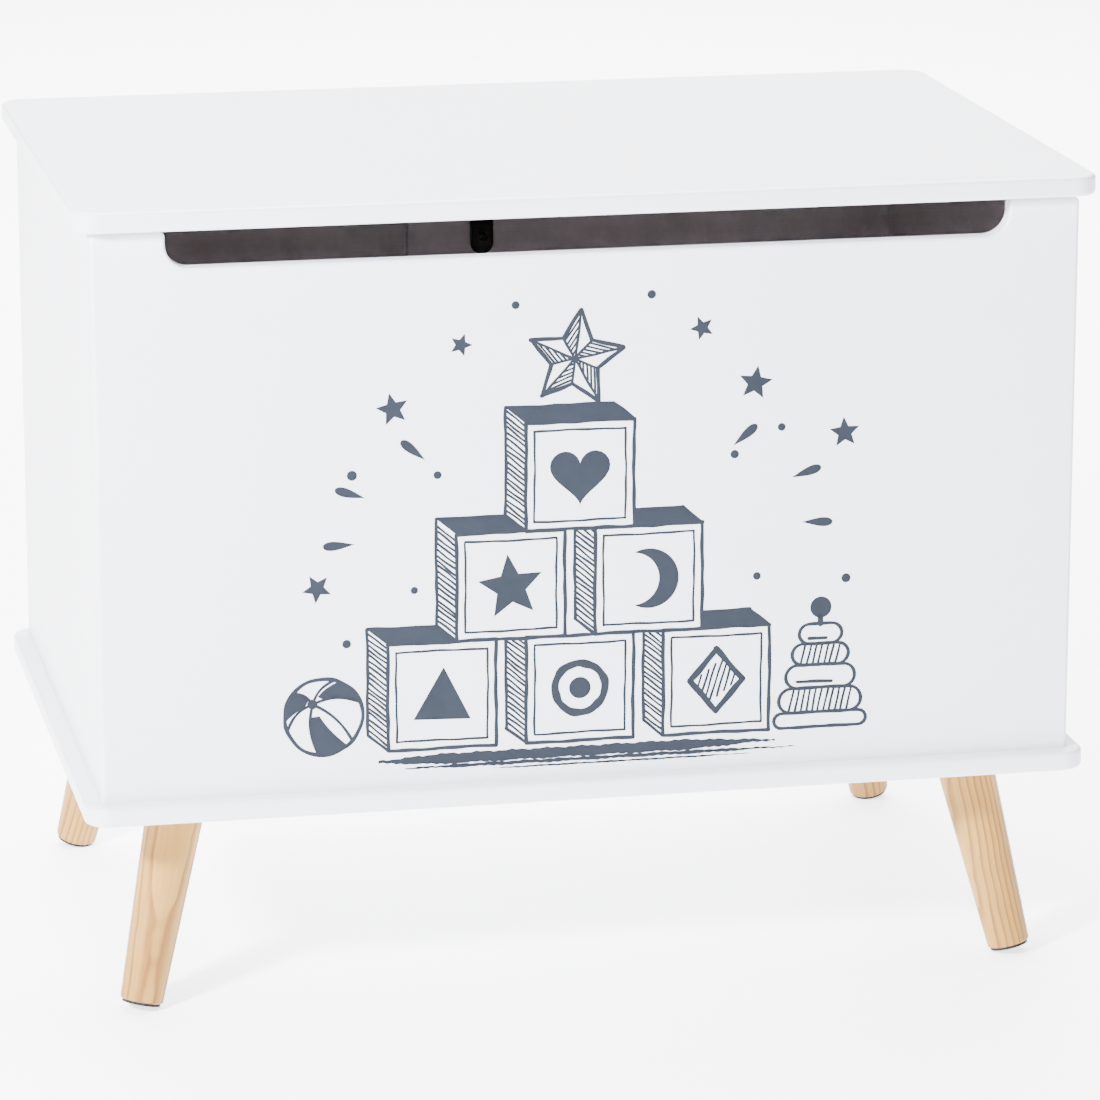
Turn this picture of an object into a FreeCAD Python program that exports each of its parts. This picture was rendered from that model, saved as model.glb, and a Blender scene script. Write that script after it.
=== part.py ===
import FreeCAD
import Part
import Sketcher
import os

# A low toy chest on four splayed wooden legs, with a lid that swings up on two butt hinges and
# is held by a torsion stay in the middle of the back edge. Millimetres, +Z up, origin on the
# floor below the middle of the base board. Front is -Y.

Vec = FreeCAD.Vector
Rot = FreeCAD.Rotation
Place = FreeCAD.Placement

SIZES = [
    ("board", 12, "thickness of every lacquered board"),
    ("case_wide", 580, "width over the side panels"),
    ("case_deep", 390, "depth over the front and back panels"),
    ("wall_high", 334, "height of the four panels"),
    ("overhang", 10, "how far lid and base stand out past the panels"),
    ("lid_gap", 2, "gap between the panels' top edges and the lid"),
    ("plan_round", 15, "corner radius of lid and base seen from above"),
    ("edge_round", 2.5, "round-over on the long edges of the boards"),
    ("slot_wide", 495, "width of the finger slot at the top of the front panel"),
    ("slot_deep", 21, "depth of the finger slot"),
    ("slot_round", 14, "radius of the finger slot's lower corners"),
    ("leg_drop", 121, "height of the base board's underside above the middle of a foot"),
    ("leg_side", 239, "leg top centre, sideways from the middle"),
    ("leg_end", 144, "leg top centre, front or back from the middle"),
    ("splay_side", 27, "how far the foot stands outside the leg top, sideways"),
    ("splay_end", 21, "how far the foot stands outside the leg top, front or back"),
    ("leg_top", 17.6, "leg radius under the base board"),
    ("leg_foot", 12.8, "leg radius at the foot"),
    ("foot_round", 1.5, "round-over at the foot"),
    ("pad_radius", 11.4, "radius of the pad under each foot"),
    ("pad_thick", 1.6, "thickness of the pad under each foot"),
    ("bolt_radius", 4, "radius of the bolt that holds a leg"),
    ("bolt_sink", 26, "how far the leg bolt goes down into the leg"),
    ("nut_radius", 5.5, "barrel radius of the tee nut in the base board"),
    ("nut_barrel", 10, "barrel length of the tee nut"),
    ("flange_radius", 10, "flange radius of the tee nut"),
    ("flange_thick", 1.5, "flange thickness of the tee nut"),
    ("dowel_radius", 3, "radius of the corner dowels"),
    ("dowel_face", 8, "dowel depth in the front or back panel"),
    ("dowel_end", 14, "dowel depth in the side panel's end"),
    ("screw_radius", 2, "shank radius of the screws up through the base board"),
    ("screw_long", 35, "length of the screws up through the base board"),
    ("screw_head", 4, "head radius of the screws up through the base board"),
    ("screw_share", 0.38, "outer base screws from the middle, as a share of the case's width"),
    ("side_share", 0.23, "side base screws from the middle, as a share of the case's depth"),
    ("axis_back", 5, "hinge axis behind the back panel's outer face"),
    ("axis_rise", 0.4, "hinge axis above the panels' top edges"),
    ("pin_radius", 1.5, "hinge pin radius"),
    ("pin_play", 0.05, "radial clearance of a pin in its knuckle"),
    ("knuckle", 3.4, "outer radius of a hinge knuckle"),
    ("leaf_thick", 1.2, "thickness of a hinge leaf"),
    ("leaf_long", 60, "length of a hinge leaf along the back edge"),
    ("case_leaf", 11, "leaf width on the back panel's top edge"),
    ("lid_leaf", 26, "leaf width under the lid"),
    ("hinge_side", 205, "hinge middle, sideways from the middle"),
    ("tack_radius", 1.4, "shank radius of the hinge screws"),
    ("tack_head", 2.6, "head radius of the hinge screws"),
    ("tack_long", 10, "length of the hinge screws"),
    ("tack_share", 0.36, "outer hinge screws from the leaf's middle, as a share of its length"),
    ("seat_play", 0.2, "play at each end of a seat for a hinge leaf or the strap"),
    ("rail_wide", 85, "width of the rail behind the stay's strap"),
    ("rail_thick", 10, "thickness of that rail"),
    ("rail_high", 150, "height of that rail"),
    ("strap_side", 5, "stay strap centre, sideways from the middle"),
    ("strap_wide", 14.6, "width of the stay's strap"),
    ("strap_thick", 1.6, "thickness of the stay's strap"),
    ("strap_drop", 93, "how far the strap hangs below the panels' top edges"),
    ("strap_first", 11, "lowest strap screw above the strap's lower end"),
    ("strap_step", 30, "distance between two strap screws"),
    ("barrel_radius", 4.6, "outer radius of the stay's barrel"),
    ("barrel_long", 52, "length of the stay's barrel"),
    ("spindle_radius", 2.5, "radius of the spindle inside the barrel"),
    ("lug_long", 9, "length of the lug at each end of the barrel"),
    ("arm_deep", 44, "depth of the stay's plate under the lid"),
    ("arm_edge", 8, "plate screws from the plate's edges"),
    ("arm_step", 19, "distance between the two rows of plate screws"),
    ("stud_radius", 3.2, "head radius of the stay's screws"),
    ("bumper_radius", 3.6, "radius of the bumpers on the side panels"),
    ("bumper_high", 1.8, "height of the bumpers on the side panels"),
]

doc = FreeCAD.newDocument("toy_chest")
sheet = doc.addObject("Spreadsheet::Sheet", "Sizes")
for row, (alias, number, meaning) in enumerate(SIZES, 1):
    sheet.set(f"A{row}", meaning)
    sheet.set(f"B{row}", str(number))
    sheet.setAlias(f"B{row}", alias)
doc.recompute()

# Levels and faces that many pieces share, as expressions on the sheet. The legs lean, so the
# lowest point of a foot pad is below the pad's own centre.
LEAN = "sqrt(Sizes.splay_side^2 + Sizes.splay_end^2)"
FOOT_LIFT = f"(Sizes.pad_radius * {LEAN} / sqrt({LEAN}^2 + Sizes.leg_drop^2))"
UNDER = f"(Sizes.leg_drop + {FOOT_LIFT})"
HALF_WIDE = "(Sizes.case_wide / 2)"
HALF_DEEP = "(Sizes.case_deep / 2)"
FULL_WIDE = "(Sizes.case_wide + 2 * Sizes.overhang)"
FLOOR_TOP = f"({UNDER} + Sizes.board)"
WALL_TOP = f"({FLOOR_TOP} + Sizes.wall_high)"
LID_UNDER = f"({WALL_TOP} + Sizes.lid_gap)"
AXIS_Y = f"({HALF_DEEP} + Sizes.axis_back)"
AXIS_Z = f"({WALL_TOP} + Sizes.axis_rise)"
SIDE_LONG = "(Sizes.case_deep - 2 * Sizes.board)"
HALF_BOARD = "(Sizes.board / 2)"

nodes = []


def value(expression):
    """The number that an expression on the sheet gives now."""
    return float(sheet.evalExpression(str(expression)))


def size(alias):
    """A driving dimension read from the sheet."""
    return value(f"Sizes.{alias}")


def finish(piece, label):
    """Take a finished piece into the list of nodes under its own label."""
    piece.Label = label
    nodes.append(piece)
    return piece


# ---- PartDesign helpers ----------------------------------------------------------------------

def put(piece, x, y, z, turn=None):
    """Place a piece by expressions on the sheet."""
    if turn is not None:
        piece.Placement = Place(Vec(), turn)
    for axis, expression in zip("xyz", (x, y, z)):
        piece.setExpression(f"Placement.Base.{axis}", expression)


def sketch_on(body, name, role="XY_Plane", lift=None):
    """A sketch on one of the body's origin planes, lifted along the plane's normal."""
    sketch = body.newObject("Sketcher::SketchObject", name)
    origin_plane = next(f for f in body.Origin.OriginFeatures if f.Role == role)
    sketch.AttachmentSupport = [(origin_plane, "")]
    sketch.MapMode = "FlatFace"
    if lift is not None:
        sketch.setExpression("AttachmentOffset.Base.z", lift)
    return sketch


def drive(sketch, kind, places, expression):
    """Add one constraint whose value follows an expression on the sheet."""
    index = sketch.addConstraint(Sketcher.Constraint(kind, *places, value(expression)))
    sketch.setExpression(f"Constraints[{index}]", expression)


def rectangle(sketch, left, low, wide, high):
    """A rectangle from its lower left corner, width and height."""
    x, y, w, h = (value(e) for e in (left, low, wide, high))
    corners = [Vec(x, y), Vec(x + w, y), Vec(x + w, y + h), Vec(x, y + h)]
    first = sketch.GeometryCount
    for i in range(4):
        sketch.addGeometry(Part.LineSegment(corners[i], corners[(i + 1) % 4]), False)
    for i in range(4):
        sketch.addConstraint(Sketcher.Constraint("Coincident", first + i, 2, first + (i + 1) % 4, 1))
        level = "Horizontal" if i % 2 == 0 else "Vertical"
        sketch.addConstraint(Sketcher.Constraint(level, first + i))
    drive(sketch, "DistanceX", (-1, 1, first, 1), left)
    drive(sketch, "DistanceY", (-1, 1, first, 1), low)
    drive(sketch, "DistanceX", (first, 1, first, 2), wide)
    drive(sketch, "DistanceY", (first + 1, 1, first + 1, 2), high)


def circle(sketch, across, up, radius):
    """A circle from its centre and radius."""
    centre = Vec(value(across), value(up))
    index = sketch.addGeometry(Part.Circle(centre, Vec(0, 0, 1), value(radius)), False)
    drive(sketch, "DistanceX", (-1, 1, index, 3), across)
    drive(sketch, "DistanceY", (-1, 1, index, 3), up)
    drive(sketch, "Radius", (index,), radius)


def pad(body, sketch, length):
    """Raise a sketch into a board."""
    feature = body.newObject("PartDesign::Pad", sketch.Name + "_pad")
    feature.Profile = sketch
    feature.setExpression("Length", length)
    doc.recompute()
    return feature


def pocket(body, sketch, depth, reverse=False):
    """Sink a sketch into the board and make sure that it took wood away."""
    before = body.Shape.Volume
    feature = body.newObject("PartDesign::Pocket", sketch.Name + "_pocket")
    feature.Profile = sketch
    feature.Reversed = reverse
    feature.setExpression("Length", depth)
    doc.recompute()
    if body.Shape.Volume > before - 1:
        raise RuntimeError(f"{feature.Name} cut nothing")
    return feature


def mirror(body, feature, name, role="YZ_Plane"):
    """Repeat a feature on the other side of one of the body's origin planes."""
    copy = body.newObject("PartDesign::Mirrored", name)
    origin_plane = next(f for f in body.Origin.OriginFeatures if f.Role == role)
    copy.Originals = [feature]
    copy.MirrorPlane = (origin_plane, [""])
    body.Tip = copy
    doc.recompute()


def round_edges(body, name, radius, keep):
    """Round over the edges that a test picks."""
    base = body.Tip
    picked = [f"Edge{i}" for i, edge in enumerate(base.Shape.Edges, 1) if keep(edge.BoundBox)]
    if not picked:
        raise RuntimeError(f"{name} found no edges")
    feature = body.newObject("PartDesign::Fillet", name)
    feature.Base = (base, picked)
    feature.setExpression("Radius", radius)
    doc.recompute()


def near(a, b):
    """True when two lengths are the same."""
    return abs(a - b) < 0.01


def flat_board(label, wide, low, high):
    """A rectangular board that lies on XY, centred on X, with its good face up."""
    body = doc.addObject("PartDesign::Body", label)
    outline = sketch_on(body, label + "_outline")
    rectangle(outline, f"-{wide} / 2", low, wide, high)
    pad(body, outline, "Sizes.board")
    return body


# ---- boards ----------------------------------------------------------------------------------

# The boards' fixing holes, sideways and upwards, as expressions.
SCREW_SPREAD = "(Sizes.case_wide * Sizes.screw_share)"
SIDE_SCREW = "(Sizes.case_deep * Sizes.side_share)"
DOWEL_LEVELS = [f"(Sizes.wall_high * {part})" for part in (0.12, 0.5, 0.86)]
TACK_STEPS = ["-Sizes.leaf_long * Sizes.tack_share", "0", "Sizes.leaf_long * Sizes.tack_share"]
STRAP_SCREWS = [f"(Sizes.strap_drop - Sizes.strap_first - {k} * Sizes.strap_step)" for k in range(3)]
ARM_SCREW_X = "(Sizes.barrel_long / 2 + Sizes.lug_long - Sizes.arm_edge)"
ARM_SCREW_Y = ["(Sizes.arm_deep - Sizes.arm_edge)", "(Sizes.arm_deep - Sizes.arm_edge - Sizes.arm_step)"]


def rounded_slab(label):
    """Lid or base: a slab with round corners seen from above and eased edges."""
    deep = FULL_WIDE.replace("case_wide", "case_deep")
    lid = label == "lid_board"
    if lid:
        deep = f"({deep} - Sizes.overhang)"
    body = flat_board(label, FULL_WIDE, "0", deep)
    thick = size("board")
    round_edges(body, label + "_corners", "Sizes.plan_round", lambda b: near(b.ZLength, thick))
    round_edges(body, label + "_eased", "Sizes.edge_round", lambda b: near(b.ZLength, 0))
    return body


def base_board():
    """The base: its own underside is local z = 0, its front edge local y = 0."""
    body = rounded_slab("base_board")
    middle = f"({HALF_DEEP} + Sizes.overhang)"
    bores = sketch_on(body, "leg_bores")
    for side in ("-", ""):
        for end in ("-", "+"):
            circle(bores, f"{side}Sizes.leg_side", f"{middle} {end} Sizes.leg_end", "Sizes.nut_radius")
    pocket(body, bores, "Sizes.board", reverse=True)
    shanks = sketch_on(body, "base_screw_holes")
    for x, y in base_screw_spots():
        circle(shanks, x, f"{middle} + {y}", "Sizes.screw_radius")
    drilled = pocket(body, shanks, "Sizes.board", reverse=True)
    wide = 2 * size("screw_radius")
    rims = [
        f"Edge{i}" for i, edge in enumerate(drilled.Shape.Edges, 1)
        if near(edge.BoundBox.ZMax, 0) and near(edge.BoundBox.XLength, wide)
    ]
    sink = body.newObject("PartDesign::Chamfer", "base_screw_sinks")
    sink.Base = (drilled, rims)
    sink.setExpression("Size", "(Sizes.screw_head - Sizes.screw_radius)")
    doc.recompute()
    put(body, "0", f"-{middle}", UNDER)
    finish(body, "base_board")


def base_screw_spots():
    """Centres of the ten screws that come up through the base, from the middle of the case."""
    edge_y = f"({HALF_DEEP} - {HALF_BOARD})"
    edge_x = f"({HALF_WIDE} - {HALF_BOARD})"
    spots = [(x, f"{sign}{edge_y}") for sign in ("-", "") for x in (f"-{SCREW_SPREAD}", "0", SCREW_SPREAD)]
    spots += [(f"{s}{edge_x}", f"{e}{SIDE_SCREW}") for s in ("-", "") for e in ("-", "")]
    return spots


def lid_board():
    """The lid: underside at local z = 0, front edge at local y = 0, flush with the back panel."""
    body = rounded_slab("lid_board")
    holes = sketch_on(body, "lid_screw_holes")
    front_to_middle = f"({HALF_DEEP} + Sizes.overhang)"
    for x, y in lid_tack_spots():
        circle(holes, x, f"{front_to_middle} + {y}", "Sizes.tack_radius")
    for x, y in arm_screw_spots():
        circle(holes, x, f"{front_to_middle} + {y}", "Sizes.tack_radius")
    pocket(body, holes, "(Sizes.tack_long - Sizes.leaf_thick)", reverse=True)
    put(body, "0", f"-{front_to_middle}", LID_UNDER)
    finish(body, "lid_board")


def lid_tack_spots():
    """Centres of the screws through the hinges' lid leaves."""
    row = f"({AXIS_Y} - Sizes.lid_leaf + 6)"
    return [(f"{side}Sizes.hinge_side + {step}", row) for side in ("-", "") for step in TACK_STEPS]


def case_tack_spots():
    """Centres of the screws through the hinges' case leaves."""
    row = f"({HALF_DEEP} - {HALF_BOARD})"
    return [(f"{side}Sizes.hinge_side + {step}", row) for side in ("-", "") for step in TACK_STEPS]


def arm_screw_spots():
    """Centres of the screws through the stay's plate under the lid."""
    return [(f"Sizes.strap_side {s} {ARM_SCREW_X}", f"({AXIS_Y} - {y})") for s in "-+" for y in ARM_SCREW_Y]


def outer_upright(box):
    """True for the two upright edges on the outer face of a front or back panel."""
    at_side = near(abs(box.XMin), size("case_wide") / 2) and near(box.XLength, 0)
    return at_side and near(box.ZMin, size("board"))


def panel_fixings(body, label):
    """Dowel holes in a front or back panel's inner face and screw holes in its lower edge."""
    dowels = sketch_on(body, label + "_dowel_holes")
    for side in ("-", ""):
        for level in DOWEL_LEVELS:
            circle(dowels, f"{side}({HALF_WIDE} - {HALF_BOARD})", level, "Sizes.dowel_radius")
    pocket(body, dowels, "Sizes.dowel_face", reverse=True)
    foot = sketch_on(body, label + "_foot_holes", "XZ_Plane")
    for x in (f"-{SCREW_SPREAD}", "0", SCREW_SPREAD):
        circle(foot, x, HALF_BOARD, "Sizes.screw_radius")
    pocket(body, foot, "(Sizes.screw_long - Sizes.board)")


def front_panel():
    """The front: drawn flat with its outer face up, the finger slot sunk into its top edge."""
    body = flat_board("front_panel", "Sizes.case_wide", "0", "Sizes.wall_high")
    slot = sketch_on(body, "finger_slot")
    slot_floor = "Sizes.wall_high - Sizes.slot_deep"
    rectangle(slot, "-Sizes.slot_wide / 2", slot_floor, "Sizes.slot_wide", "Sizes.slot_deep")
    pocket(body, slot, "Sizes.board", reverse=True)
    thick = size("board")
    half_slot = size("slot_wide") / 2
    slot_floor = size("wall_high") - size("slot_deep")

    def slot_corner(box):
        inside = near(abs(box.XMin), half_slot) and near(abs(box.XMax), half_slot)
        return inside and near(box.ZLength, thick) and near(box.YMin, slot_floor)

    def slot_shoulder(box):
        inside = near(abs(box.XMin), half_slot) and near(abs(box.XMax), half_slot)
        return inside and near(box.ZLength, thick) and near(box.YMin, size("wall_high"))

    def slot_rim(box):
        in_slot = abs(box.XMin) < half_slot + 4 and abs(box.XMax) < half_slot + 4
        return near(box.ZLength, 0) and in_slot and box.YMin > slot_floor - 0.1

    round_edges(body, "slot_corners", "Sizes.slot_round", slot_corner)
    round_edges(body, "slot_shoulders", "3", slot_shoulder)
    round_edges(body, "slot_rim", "2", slot_rim)
    round_edges(body, "front_uprights", "Sizes.edge_round", outer_upright)
    panel_fixings(body, "front")
    put(body, "0", f"-({HALF_DEEP} - Sizes.board)", FLOOR_TOP, Rot(Vec(1, 0, 0), 90))
    finish(body, "front_panel")


def back_panel():
    """The back: inner face at local z = 0, with seats for the hinges and the strap on top."""
    body = flat_board("back_panel", "Sizes.case_wide", "0", "Sizes.wall_high")
    round_edges(body, "back_uprights", "Sizes.edge_round", outer_upright)
    seats = sketch_on(body, "hinge_seats")
    for side in ("-", ""):
        left = f"{side}Sizes.hinge_side - Sizes.leaf_long / 2 - Sizes.seat_play"
        floor = "Sizes.wall_high - Sizes.leaf_thick"
        rectangle(seats, left, floor, "Sizes.leaf_long + 2 * Sizes.seat_play", "Sizes.leaf_thick")
    left = "-Sizes.strap_side - Sizes.strap_wide / 2 - Sizes.seat_play"
    floor = "Sizes.wall_high - Sizes.strap_thick"
    rectangle(seats, left, floor, "Sizes.strap_wide + 2 * Sizes.seat_play", "Sizes.strap_thick")
    pocket(body, seats, "Sizes.board", reverse=True)
    tacks = sketch_on(body, "case_tack_holes", "XZ_Plane", "-Sizes.wall_high + Sizes.leaf_thick")
    for x, _ in case_tack_spots():
        circle(tacks, x, HALF_BOARD, "Sizes.tack_radius")
    pocket(body, tacks, "(Sizes.tack_long - Sizes.leaf_thick)", reverse=True)
    studs = sketch_on(body, "strap_screw_holes")
    for drop in STRAP_SCREWS:
        circle(studs, "-Sizes.strap_side", f"Sizes.wall_high - {drop}", "Sizes.tack_radius")
    pocket(body, studs, "8", reverse=True)
    panel_fixings(body, "back")
    put(body, "0", f"{HALF_DEEP} - Sizes.board", FLOOR_TOP, Rot(Vec(0, 1, 1), 180))
    finish(body, "back_panel")


def side_panel(label, side):
    """A side panel between front and back, drawn flat with its outer face up."""
    body = flat_board(label, SIDE_LONG, "0", "Sizes.wall_high")
    dowels = sketch_on(body, label + "_dowel_holes", "YZ_Plane", f"-{SIDE_LONG} / 2")
    for level in DOWEL_LEVELS:
        circle(dowels, level, HALF_BOARD, "Sizes.dowel_radius")
    ends = pocket(body, dowels, "Sizes.dowel_end", reverse=True)
    mirror(body, ends, label + "_dowel_mirror")
    foot = sketch_on(body, label + "_foot_holes", "XZ_Plane")
    for x in (f"-{SIDE_SCREW}", SIDE_SCREW):
        circle(foot, x, HALF_BOARD, "Sizes.screw_radius")
    pocket(body, foot, "(Sizes.screw_long - Sizes.board)")
    stand = Rot(Vec(0, 0, 1), 90 * side).multiply(Rot(Vec(1, 0, 0), 90))
    put(body, f"{side} * ({HALF_WIDE} - Sizes.board)", "0", FLOOR_TOP, stand)
    finish(body, label)


def stay_rail():
    """The upright rail glued inside the back panel, which takes the strap's screws."""
    body = doc.addObject("PartDesign::Body", "stay_rail")
    outline = sketch_on(body, "rail_outline")
    rectangle(outline, "-Sizes.rail_wide / 2", "0", "Sizes.rail_wide", "Sizes.rail_high")
    pad(body, outline, "Sizes.rail_thick")
    seat = sketch_on(body, "rail_seat")
    left = "Sizes.strap_side - Sizes.strap_wide / 2 - Sizes.seat_play"
    floor = "Sizes.rail_high - Sizes.strap_thick"
    rectangle(seat, left, floor, "Sizes.strap_wide + 2 * Sizes.seat_play", "Sizes.strap_thick")
    pocket(body, seat, "Sizes.rail_thick", reverse=True)
    studs = sketch_on(body, "rail_screw_holes")
    for drop in STRAP_SCREWS:
        circle(studs, "Sizes.strap_side", f"Sizes.rail_high - {drop}", "Sizes.tack_radius")
    pocket(body, studs, "Sizes.rail_thick", reverse=True)
    put(body, "0", f"{HALF_DEEP} - Sizes.board", f"{WALL_TOP} - Sizes.rail_high", Rot(Vec(1, 0, 0), 90))
    finish(body, "stay_rail")


# ---- Part helpers ----------------------------------------------------------------------------

def rod(name, radius, length, x, y, z, turn=None):
    """A round bar from its lower end, along local z."""
    bar = doc.addObject("Part::Cylinder", name)
    bar.setExpression("Radius", radius)
    bar.setExpression("Height", length)
    put(bar, x, y, z, turn)
    return bar


def block(name, wide, deep, high, x, y, z):
    """A rectangular block from its lowest corner."""
    brick = doc.addObject("Part::Box", name)
    brick.setExpression("Length", wide)
    brick.setExpression("Width", deep)
    brick.setExpression("Height", high)
    put(brick, x, y, z)
    return brick


def fuse(name, pieces):
    """One solid from several."""
    joined = doc.addObject("Part::MultiFuse", name)
    joined.Shapes = pieces
    joined.Refine = True
    return joined


def cut(name, base, tools):
    """One piece with others taken out of it."""
    tool = tools[0] if len(tools) == 1 else fuse(name + "_tool", tools)
    result = doc.addObject("Part::Cut", name)
    result.Base = base
    result.Tool = tool
    return result


# ---- legs ------------------------------------------------------------------------------------

LEG_SPOTS = {
    "front_left": (-1, -1),
    "front_right": (1, -1),
    "back_left": (-1, 1),
    "back_right": (1, 1),
}
LEG_SPARE = 14


def leg_axis(side, end):
    """The leg's top and foot centres and the turn that lays local z along the leg, foot to top."""
    top = Vec(side * size("leg_side"), end * size("leg_end"), value(UNDER))
    foot = top + Vec(side * size("splay_side"), end * size("splay_end"), -size("leg_drop"))
    return top, foot, Rot(Vec(0, 0, 1), top - foot)


def leg(spot, side, end):
    """A turned, tapered leg cut off flush with the base, its foot pad, bolt and tee nut."""
    top, foot, turn = leg_axis(side, end)
    length = (top - foot).Length
    taper = doc.addObject("Part::Cone", "taper_" + spot)
    taper.setExpression("Radius1", "Sizes.leg_foot")
    slope = f"(Sizes.leg_top - Sizes.leg_foot) / {length:.4f}"
    taper.setExpression("Radius2", f"Sizes.leg_top + {slope} * {LEG_SPARE}")
    taper.setExpression("Height", f"{length + LEG_SPARE:.4f} - Sizes.pad_thick")
    taper.Placement = Place(foot + turn.multVec(Vec(0, 0, size("pad_thick"))), turn)
    doc.recompute()
    rim = next(
        i for i, edge in enumerate(taper.Shape.Edges, 1)
        if edge.Curve.TypeId == "Part::GeomCircle" and near(edge.Curve.Radius, size("leg_foot"))
    )
    eased = doc.addObject("Part::Fillet", "eased_" + spot)
    eased.Base = taper
    eased.Edges = [(rim, size("foot_round"), size("foot_round"))]
    x = f"{side} * Sizes.leg_side"
    y = f"{end} * Sizes.leg_end"
    trim = block("trim_" + spot, "80", "80", "60", f"{x} - 40", f"{y} - 40", UNDER)
    bore = rod("bore_" + spot, "Sizes.bolt_radius", "Sizes.bolt_sink", x, y, f"{UNDER} - Sizes.bolt_sink")
    finish(cut("cut_" + spot, eased, [trim, bore]), "leg_" + spot)

    pad_disc = doc.addObject("Part::Cylinder", "pad_" + spot)
    pad_disc.setExpression("Radius", "Sizes.pad_radius")
    pad_disc.setExpression("Height", "Sizes.pad_thick")
    pad_disc.Placement = Place(foot, turn)
    finish(pad_disc, "foot_pad_" + spot)

    bolt_long = "Sizes.bolt_sink + Sizes.board"
    bolt = rod("bolt_" + spot, "Sizes.bolt_radius", bolt_long, x, y, f"{UNDER} - Sizes.bolt_sink")
    finish(bolt, "leg_bolt_" + spot)

    low = f"{FLOOR_TOP} - Sizes.nut_barrel"
    barrel = rod("barrel_" + spot, "Sizes.nut_radius", "Sizes.nut_barrel", x, y, low)
    flange = rod("flange_" + spot, "Sizes.flange_radius", "Sizes.flange_thick", x, y, FLOOR_TOP)
    thread = rod("thread_" + spot, "Sizes.bolt_radius", "Sizes.nut_barrel + 4", x, y, f"{low} - 1")
    finish(cut("nut_" + spot, fuse("nut_body_" + spot, [barrel, flange]), [thread]), "tee_nut_" + spot)


# ---- hinges and stay -------------------------------------------------------------------------

ALONG_X = Rot(Vec(0, 1, 0), 90)
KNUCKLES = 5
KNUCKLE_GAP = 0.3


def along_axis(name, radius, start, length):
    """A round bar on the hinge axis, from its left end."""
    return rod(name, radius, length, start, AXIS_Y, AXIS_Z, ALONG_X)


def sunk_hole(name, x, y, face, down):
    """Tools for a countersunk hole in a leaf: `down` is 1 when the head is on top."""
    shank = rod(name, "Sizes.tack_radius", "4", x, y, f"{face} - 2")
    head = doc.addObject("Part::Cone", name + "_head")
    big, small = ("Radius2", "Radius1") if down > 0 else ("Radius1", "Radius2")
    head.setExpression(big, "Sizes.tack_head")
    head.setExpression(small, "Sizes.tack_radius")
    head.setExpression("Height", "Sizes.leaf_thick")
    low = f"{face} - Sizes.leaf_thick" if down > 0 else face
    put(head, x, y, low)
    return [shank, head]


def butt_hinge(name, side):
    """A five-knuckle hinge: the case leaf holds knuckles 1, 3 and 5, the lid leaf 2 and 4."""
    middle = f"{side} * Sizes.hinge_side"
    start = f"({middle} - Sizes.leaf_long / 2)"
    step = f"(Sizes.leaf_long / {KNUCKLES})"
    leaves = {
        "case": ("Sizes.case_leaf", f"{WALL_TOP} - Sizes.leaf_thick", WALL_TOP, 1, (0, 2, 4), (1, 3)),
        "lid": ("Sizes.lid_leaf - Sizes.axis_back", f"{LID_UNDER} - Sizes.leaf_thick",
                f"({LID_UNDER} - Sizes.leaf_thick)", -1, (1, 3), (0, 2, 4)),
    }
    for which, (reach, low, face, down, own, other) in leaves.items():
        tag = f"{name}_{which}"
        root = f"({HALF_DEEP} - {reach})"
        deep = f"{AXIS_Y} - 1 - {root}"
        plate = block(tag + "_plate", "Sizes.leaf_long", deep, "Sizes.leaf_thick", start, root, low)
        rounds = [
            along_axis(
                f"{tag}_knuckle{k}", "Sizes.knuckle", f"{start} + {step} * {k}", f"{step} - {KNUCKLE_GAP}")
            for k in own
        ]
        gaps = [
            along_axis(f"{tag}_gap{k}", f"Sizes.knuckle + {KNUCKLE_GAP}",
                       f"{start} + {step} * {k} - {KNUCKLE_GAP}", f"{step} + {KNUCKLE_GAP}")
            for k in other
        ]
        play = "Sizes.pin_radius + Sizes.pin_play"
        bore = along_axis(tag + "_bore", play, f"{start} - 2", "Sizes.leaf_long + 4")
        row = f"({AXIS_Y} - Sizes.lid_leaf + 6)" if which == "lid" else f"({HALF_DEEP} - {HALF_BOARD})"
        holes = []
        for number, offset in enumerate(TACK_STEPS):
            holes += sunk_hole(f"{tag}_hole{number}", f"{middle} + {offset}", row, face, down)
        leaf = cut(tag + "_opened", plate, gaps)
        joined = fuse(tag + "_joined", [leaf] + rounds)
        finish(cut(tag + "_leaf", joined, [bore] + holes), f"{name}_{which}_leaf")
    pin = along_axis(name + "_pin_bar", "Sizes.pin_radius", f"{start} - 0.6", "Sizes.leaf_long + 1.2 - 0.3")
    finish(pin, name + "_pin")


def strap_outline():
    """Side view of the strap: down the rail's face, over the back panel and under the barrel."""
    face = value(f"{HALF_DEEP} - Sizes.board - Sizes.rail_thick")
    top = value(WALL_TOP)
    thick = size("strap_thick")
    low = top - size("strap_drop")
    rear = value(AXIS_Y)
    points = [(face, low), (face, top - thick), (rear, top - thick)]
    points += [(rear, top), (face - thick, top), (face - thick, low)]
    start = Vec(size("strap_side") - size("strap_wide") / 2, 0, 0)
    return Part.makePolygon([start + Vec(0, y, z) for y, z in points + points[:1]])


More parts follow.
